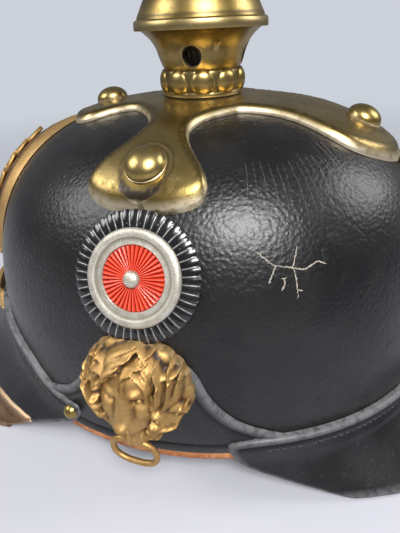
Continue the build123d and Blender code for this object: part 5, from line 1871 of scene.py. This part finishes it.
@dataclass
class FrontPlate:
    """Oval plate with wreath, plain shield and scroll on the front."""

    middle: float = 80
    half: tuple[float, float] = (44, 41)
    stand: float = 3.2

    def place(self, u: Array, v: Array, off: Array) -> Array:
        """Return points on the front of the skull."""
        return FORM.end(u, self.middle + v, off)

    def build(self) -> None:
        """Make plate, wreath, shield and scroll."""
        t = np.linspace(0, 2 * math.pi, 240, endpoint=False)
        oval = np.column_stack([self.half[0] * np.cos(t), self.half[1] * np.sin(t)])

        def lift(edge: Array, u: Array, v: Array) -> Array:
            """Return the plate's face with its bead and rolled edge."""
            bead = .5 * bell(edge, 1.2, .7)
            return 4.0 + bead - 2.9 * np.clip(1 - edge / 4.5, 0, 1) ** 1.8

        plate = sheet(oval, self.place, lift, .3, spacing=1.8, rows=(.3, .7, 1.2, 2),
                      band=1.5, hollow=lambda e, u, v: bell(e, 2.8, 1.2))
        x = np.array([-53, -46, -40, 0, 40, 46, 53, 53, 46, 53, 40, 0, -40, -53, -46, -53])
        z = np.array([38.5, 38.5, 38.5, 37.2, 38.5, 38.5, 38.5, 38.6, 45, 51.5, 51.5, 50.2,
                      51.5, 51.5, 45, 38.6])
        ribbon = np.column_stack([x, z - self.middle])

        def ribbon_lift(e: Array, u: Array, v: Array) -> Array:
            """Return the scroll's wavy face."""
            return 5.4 + .5 * np.cos(u / 53 * 2.2 * math.pi) - .7 * np.clip(
                1 - e / .7, 0, 1) + .3 * bell(e, 1.4, .5)

        scroll = sheet(ribbon, self.place, ribbon_lift, self.stand, spacing=1.4,
                       rows=(.3, .7, 1.4), band=1.2,
                       hollow=lambda e, u, v: .8 * bell(e, 2.4, .7))
        make_piece("plate_skin", plate, Slot.GILT, ["front_plate"])
        make_piece("scroll_skin", scroll, Slot.GILT, ["plate_scroll"])
        shield = np.column_stack([17.6 * np.sign(np.cos(t)) * np.abs(np.cos(t)) ** .75,
                                  21.5 * np.sin(t)])

        def shield_lift(e: Array, u: Array, v: Array) -> Array:
            """Return the shield's face with its border and fine lines."""
            border = .9 * bell(e, 1.3, .7)
            field_rise = 1.6 * np.sqrt(np.clip(e / 16, 0, 1))
            lines = .18 * (np.abs(np.mod(u, 2.2) - 1.1) < .35) * (e > 3)
            return 4.7 + border + field_rise - lines - .5 * np.clip(1 - e / .5, 0, 1)

        surface = sheet(shield, self.place, shield_lift, 4.2, spacing=.9,
                        rows=(.25, .5, .9, 1.3, 2), band=1.6,
                        hollow=lambda e, u, v: .9 * bell(e, 2.7, .5))
        make_piece("shield_skin", surface, Slot.GILT, ["plate_shield"])
        self.wreath()

    def wreath(self) -> None:
        """Scatter the leaves and berries of the wreath."""
        spots, turns, berries = [], [], []
        for side in (-1, 1):
            for angle in np.linspace(16, 152, 11):
                a = math.radians(angle)
                u, v = side * 33 * math.sin(a), -32 * math.cos(a)
                ahead = math.atan2(33 * math.cos(a) * side, 32 * math.sin(a))
                for splay in (-32, 0, 32):
                    place = surface_place(lambda p, q, o: self.place(p, q, o + 4.6), u, v)
                    zero = np.zeros(1)
                    origin = place(zero, zero, zero)[0]
                    way = ahead + math.radians(splay)
                    tip = place(np.array([math.sin(way)]), np.array([math.cos(way)]),
                                zero)[0] - origin
                    out = origin - place(zero, zero, zero - 1)[0]
                    if out[1] > 0:
                        out = -out
                    right = np.cross(tip, out)
                    matrix = Matrix((right, tip, out)).transposed()
                    spots.append(origin + out * (.3 if splay else .9))
                    turns.append(tuple(matrix.to_euler()))
                berries.append(origin + tip * 3 + out * 1.2)
        scatter("wreath_leaves", leaf_shape(11.5, 3.0, 1.5), np.array(spots),
                np.array(turns), Slot.GILT, .08, ["plate_wreath"])
        ball = dome(1.15, 1.3, lambda x, y, h: np.column_stack([x, y, h]), foot=-.2,
                    residue=.3)
        scatter("wreath_berries", ball, np.array(berries), np.tile(
            (math.pi / 2, 0, 0), (len(berries), 1)), Slot.GILT, .12)


@dataclass
class Leatherwork:
    """Patches, welts, cracks, sweatband, lining and felt washers."""

    tongues: int = 9
    patch_shares: tuple = ((1, 0), (.88, .18), (.725, .40), (.61, .465), (.46, .58),
                           (.36, .71), (.283, .88), (.233, 1))
    cracks: tuple = (
        ((37.4, 95.8), (40.2, 93.8), (41.7, 92.6), (43.5, 91.7), (45.8, 91.3),
         (48.3, 90.8), (50.4, 90.1), (52.1, 90.0), (53.7, 90.8), (55.5, 91.5),
         (57.7, 90.3)),
        ((48.7, 96.3), (48.6, 93.7), (48.5, 92.2), (48.3, 90.8)),
        ((48.3, 90.8), (49.2, 89.0), (49.6, 87.7), (50.5, 84.4), (50.9, 82.1)),
        ((50.5, 84.3), (51.9, 84.1)),
        ((43.5, 91.7), (42.9, 90.2), (42.7, 88.8), (42.1, 87.0)),
        ((45.4, 88.1), (46.2, 88.1), (46.7, 86.5), (45.9, 84.7)),
        ((46.2, 88.0), (47.0, 88.4)))

    def patches(self) -> None:
        """Make the leather patches under the cockades."""
        half = smooth_curve([(49.5 * a, HEM + 60 * up) for up, a in self.patch_shares], 90)
        left = np.column_stack([2.5 - half[:, 0], half[:, 1]])[::-1]
        right = np.column_stack([2.5 + half[1:, 0], half[1:, 1]])
        foot = np.linspace(52, -47, 60)
        bottom = np.column_stack([foot, hem(foot) + 4.2])
        loop = np.vstack([left, right, bottom])

        def lift(edge: Array, y: Array, z: Array) -> Array:
            """Return the face with its ridge and crease."""
            ridge = .45 * bell(edge, 1.4, .9)
            crease = .5 * bell(edge, 4.3, .35)
            return 1.45 + ridge - crease - .7 * np.clip(1 - edge / .6, 0, 1) ** 2

        patch = sheet(loop, FORM.side, lift, SEAT, spacing=1.6,
                      rows=(.2, .5, .9, 1.4, 2.2, 3.9, 4.3, 4.7), band=2.9,
                      hollow=lambda e, y, z: bell(e, 4.3, .4))
        patch.rim = patch.rim * np.clip((patch.points[:, 2] - 20) / 5, .2, 1)
        make_pair("patch_skin", patch, Slot.VISOR, "side_patch")

    def welts(self) -> None:
        """Make the welts along the lower edge."""
        low, high = (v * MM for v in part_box("base_welt_left"))
        y = np.linspace(low.y, high.y, 90)
        floor = hem(y)
        loop = np.vstack([np.column_stack([y, floor]),
                          np.column_stack([y, floor + 3.9])[::-1]])

        def lift(edge: Array, a: Array, z: Array) -> Array:
            """Return the welt's rounded face."""
            return .35 + 1.1 * np.sqrt(np.clip(edge / 1.95, 0, 1)) + .12 * np.sin(a * 2.4)

        welt = sheet(loop, FORM.side, lift, SEAT, spacing=.9, rows=(.2, .5, .9), band=.6)
        make_pair("welt_skin", welt, Slot.WELT, "base_welt")

    def crack_lines(self) -> None:
        """Make the flaked cracks and the hairlines on the left side."""
        random = np.random.default_rng(3)
        hairlines, steps, square_to = 15, 24, (1, .3, .4)
        strips = []
        for line in self.cracks:
            path = resample(np.array(line, float), .35, closed=False)
            path = path + random.normal(0, .09, path.shape)
            size = np.abs(random.normal(.13, .07, len(path))) + .05
            size[[0, -1]] = .05
            points = FORM.side(path[:, 0], path[:, 1], np.full(len(path), .02))
            strips.append(tube(points, size, sides=7, up=square_to))
        for k in range(hairlines):
            turn = np.radians(34 + 2.1 * k) + np.linspace(0, .03, steps)
            high = 118 - .22 * k + random.uniform(-1.5, 1.5)
            z = np.linspace(high, high - random.uniform(6, 15), steps)
            turn = turn + random.normal(0, .0012, steps)
            points = FORM.around(turn, z, np.full(steps, .01))
            size = np.full(steps, random.uniform(.012, .024))
            strips.append(tube(points, size, sides=5, up=square_to))
        total = united(strips)
        total.rim = np.ones(len(total.points))
        piece = make_piece("shell_cracks", total, Slot.SHELL)
        look = Finish(Slot.SHELL, (.22, .19, .15), (.32, .28, .23), (.08, .06, .05),
                      (.45, .41, .35), rough=.8, scale=300, wear_and_highlight=.3, grain=1500)
        piece.data.materials[0] = PAINTS.build(look)

    def sweatband(self) -> None:
        """Make the sweatband with a row of stitches."""
        def oval(x: Array, y: Array, h: Array) -> Array:
            """Return points with the circle stretched to the skull's plan."""
            return np.column_stack([x, y * RATIO, h])

        line = [(85.6, 12.4), (85.7, 20), (85.7, 30), (85.6, 37.7), (85.1, 38.0)]
        line += [(84.35, h) for h in np.linspace(37.7, 12.6, 40)] + [(84.9, 12.2)]

        def warp(r: Array, t: Array, h: Array) -> tuple:
            """Return the inner face with its waves and fold."""
            inner = r < 84.6
            wave = .12 * np.sin(t * 31 + h * .4) + .08 * np.sin(t * 12)
            fold = .25 * bell(h, 33.5, .5)
            return r + inner * (wave * .6 + fold), h

        band = lathe(line, 420, warp=warp, place=oval,
                     hollow=lambda r, t, h: bell(h, 33.5, .6) * (r < 84.6))
        make_piece("sweatband_skin", band, Slot.TAN, ["sweatband"])
        threads, height, half_turn = [], 35.2, .009
        for a in np.linspace(0, 2 * math.pi, 230, endpoint=False):
            turn = np.array([a, a + half_turn, a + 2 * half_turn])
            r = np.array([84.4, 84.05, 84.4])
            points = oval(r * np.cos(turn), r * np.sin(turn), np.full(3, height))
            threads.append(tube(points, np.array([.22, .32, .22]), sides=5))
        make_piece("sweatband_stitches", united(threads), Slot.FELT)

    def tongue(self, middle: float, step: float) -> Surface:
        """Make one leather tongue of the lining.

        Args:
            middle: The angle of its middle.
            step: The angle from one tongue to the next.

        Returns:
            The closed surface.
        """
        scale, length, foot, wide_foot, high = 60, 112, 28, 83.4, 79.4

        def place(u: Array, v: Array, off: Array) -> Array:
            """Return points under the crown."""
            share = np.clip(v / 120, 0, 1)
            oval = np.cos(share * math.pi / 2 * .88) ** .9
            z = foot + (FORM.straight - foot) * np.clip(share * 9, 0, 1)
            rise = np.maximum(1 - oval ** 3, 0) ** .5
            wide = (wide_foot + off) * oval
            turn = middle + u / scale
            return np.column_stack([wide * np.cos(turn), wide * np.sin(turn) * RATIO,
                                    z + (high + off) * rise])

        along = np.linspace(0, length, 60)
        gap = .6 + 1.6 * np.clip(along / 40, 0, 1)
        half = scale * step / 2 - gap - 12 * np.clip((along - 92) / 20, 0, 1) ** 2
        loop = np.vstack([np.column_stack([half, along]),
                          np.column_stack([-half, along])[::-1]])
        return sheet(loop, place, lambda e, u, v: np.full(len(u), .6), -.6, spacing=3.4,
                     rows=(.5, 1.2), band=2)

    def lining(self) -> None:
        """Make the leather tongues of the lining."""
        step = 2 * math.pi / self.tongues
        parts = [self.tongue((k + .5) * step, step) for k in range(self.tongues)]
        make_piece("lining_skin", united(parts), Slot.TAN, ["lining_fingers"])

    def washers(self) -> None:
        """Make the felt washers inside, under the studs' nuts."""
        points = node_points("stud_washers")
        faces = [tuple(p.vertices) for p in frame["nodes"]["stud_washers"].data.polygons]
        points[:, 2] += .04 * np.sin(points[:, 0] * 3) * np.cos(points[:, 1] * 3)
        make_piece("stud_felts", Surface(points, faces), Slot.FELT, ["stud_washers"])

    def build(self) -> None:
        """Make all leather details."""
        self.patches()
        self.welts()
        self.crack_lines()
        self.sweatband()
        self.lining()
        self.washers()


@dataclass
class Room:
    """Camera, light and floor."""

    eye: tuple[float, float, float] = (174.72, 56.76, 154.33)
    turn: float = 19.48
    pitch: float = 30.65
    roll: float = -2.74
    lens: float = 27.39

    def camera(self) -> None:
        """Place the camera."""
        a, p, r = (math.radians(x) for x in (self.turn, self.pitch, self.roll))
        right = Vector((-math.sin(a), math.cos(a), 0))
        ahead = Vector((-math.cos(a) * math.cos(p), -math.sin(a) * math.cos(p),
                        -math.sin(p)))
        up = right.cross(ahead)
        side = right * math.cos(r) + up * math.sin(r)
        top = up * math.cos(r) - right * math.sin(r)
        data = bpy.data.cameras.new("camera")
        data.lens, data.sensor_width = self.lens, 36
        data.clip_start, data.clip_end = .005, 20
        camera = bpy.data.objects.new("camera", data)
        show(camera)
        matrix = Matrix((side, top, -ahead)).transposed().to_4x4()
        matrix.translation = Vector(self.eye) / MM
        camera.matrix_world = matrix
        bpy.context.scene.camera = camera

    def area(self, name: str, toward: Sequence[float], far: float, size: float,
             power: float) -> None:
        """Add a square lamp that looks at the helmet's middle.

        Args:
            name: Its name.
            toward: The way from the helmet to the lamp.
            far: Its distance in metres.
            size: Its side in metres.
            power: Its power in watts.
        """
        data = bpy.data.lights.new(name, "AREA")
        data.size, data.energy = size, power
        lamp = bpy.data.objects.new(name, data)
        show(lamp)
        way = Vector(toward).normalized()
        lamp.location = Vector((.02, .02, .08)) + way * far
        lamp.rotation_mode = "QUATERNION"
        lamp.rotation_quaternion = way.to_track_quat("Z", "Y")

    def floor(self) -> None:
        """Add the pale floor, which fades into its surroundings."""
        mesh = bpy.data.meshes.new("floor")
        far = 6.0
        mesh.from_pydata([(-far, -far, 0), (far, -far, 0), (far, far, 0), (-far, far, 0)],
                         [], [(0, 1, 2, 3)])
        paint = bpy.data.materials.new("floor")
        paint.use_nodes = True
        tree = NodeTree(paint.node_tree)
        shader = next(n for n in tree.tree.nodes if n.type == "BSDF_PRINCIPLED")
        noise = tree.add("ShaderNodeTexNoise")
        noise.inputs["Scale"].default_value = 3
        place = tree.add("ShaderNodeTexCoord").outputs["Object"]
        tree.link(place, noise.inputs["Vector"])
        tone = tree.mix(noise.outputs[0], (.40, .40, .44, 1), (.43, .43, .47, 1))
        tree.link(tone, shader.inputs["Base Color"])
        away = tree.add("ShaderNodeVectorMath", operation="LENGTH")
        tree.link(place, away.inputs[0])
        glow = tree.spread(away.outputs["Value"], .12, .9)
        path = tree.add("ShaderNodeLightPath")
        glow = tree.maths("MULTIPLY", glow, path.outputs["Is Camera Ray"])
        shine = tree.add("ShaderNodeEmission")
        shine.inputs["Color"].default_value = (.60, .64, .70, 1)
        both = tree.add("ShaderNodeMixShader")
        tree.link(glow, both.inputs[0])
        tree.link(shader.outputs[0], both.inputs[1])
        tree.link(shine.outputs[0], both.inputs[2])
        end = next(n for n in tree.tree.nodes if n.type == "OUTPUT_MATERIAL")
        tree.link(both.outputs[0], end.inputs["Surface"])
        shader.inputs["Roughness"].default_value = .75
        shader.inputs["Specular IOR Level"].default_value = .15
        mesh.materials.append(paint)
        ground = bpy.data.objects.new("floor", mesh)
        show(ground)

    def surroundings(self) -> None:
        """Add the pale surroundings."""
        world = bpy.data.worlds.new("room")
        bpy.context.scene.world = world
        world.use_nodes = True
        tree = NodeTree(world.node_tree)
        back = next(n for n in tree.tree.nodes if n.type == "BACKGROUND")
        path = tree.add("ShaderNodeLightPath")
        colour = tree.mix(path.outputs["Is Camera Ray"], (.62, .64, .68, 1),
                          (.60, .63, .70, 1))
        tree.link(colour, back.inputs["Color"])
        power = tree.maths("MULTIPLY_ADD", path.outputs["Is Camera Ray"], .68)
        power.node.inputs[2].default_value = .32
        tree.link(power, back.inputs["Strength"])

    def build(self) -> None:
        """Make the room."""
        self.camera()
        self.floor()
        self.surroundings()
        self.area("key", (.58, .32, .75), far=.9, size=.36, power=13)
        self.area("front_fill", (.35, -.75, .65), far=1.2, size=.5, power=7)
        self.area("rear_fill", (-.4, .8, .6), far=1.2, size=.5, power=6)
        bpy.context.scene.view_settings.view_transform = "Standard"


def paint_frame() -> None:
    """Give the CAD's studs, spine, nuts, bush, lock ring and screw their finish."""
    iron_names = ("spike_stem", "nuts")
    for name, node in frame["nodes"].items():
        if node.hide_render:
            continue
        iron = any(word in name for word in iron_names)
        slot = Slot.IRON if iron else Slot.BRASS
        node.data.materials.clear()
        node.data.materials.append(PAINTS.get(slot))
        node.data.shade_smooth()
        node.data.set_sharp_from_angle(angle=math.radians(35))
        log.info("CAD node kept: %s as %s", name, slot.value)


def main() -> None:
    """Build the helmet and its room."""
    logging.basicConfig(level=logging.INFO, format="%(message)s")
    Shell().build()
    front = front_visor()
    front.build(["front_visor"])
    rear_visor().build(["rear_visor"])
    Trim().build(front)
    Crown().build()
    Cockade().build()
    Lion().build()
    FrontPlate().build()
    Leatherwork().build()
    paint_frame()
    Room().build()


if __name__ == "__main__":
    main()
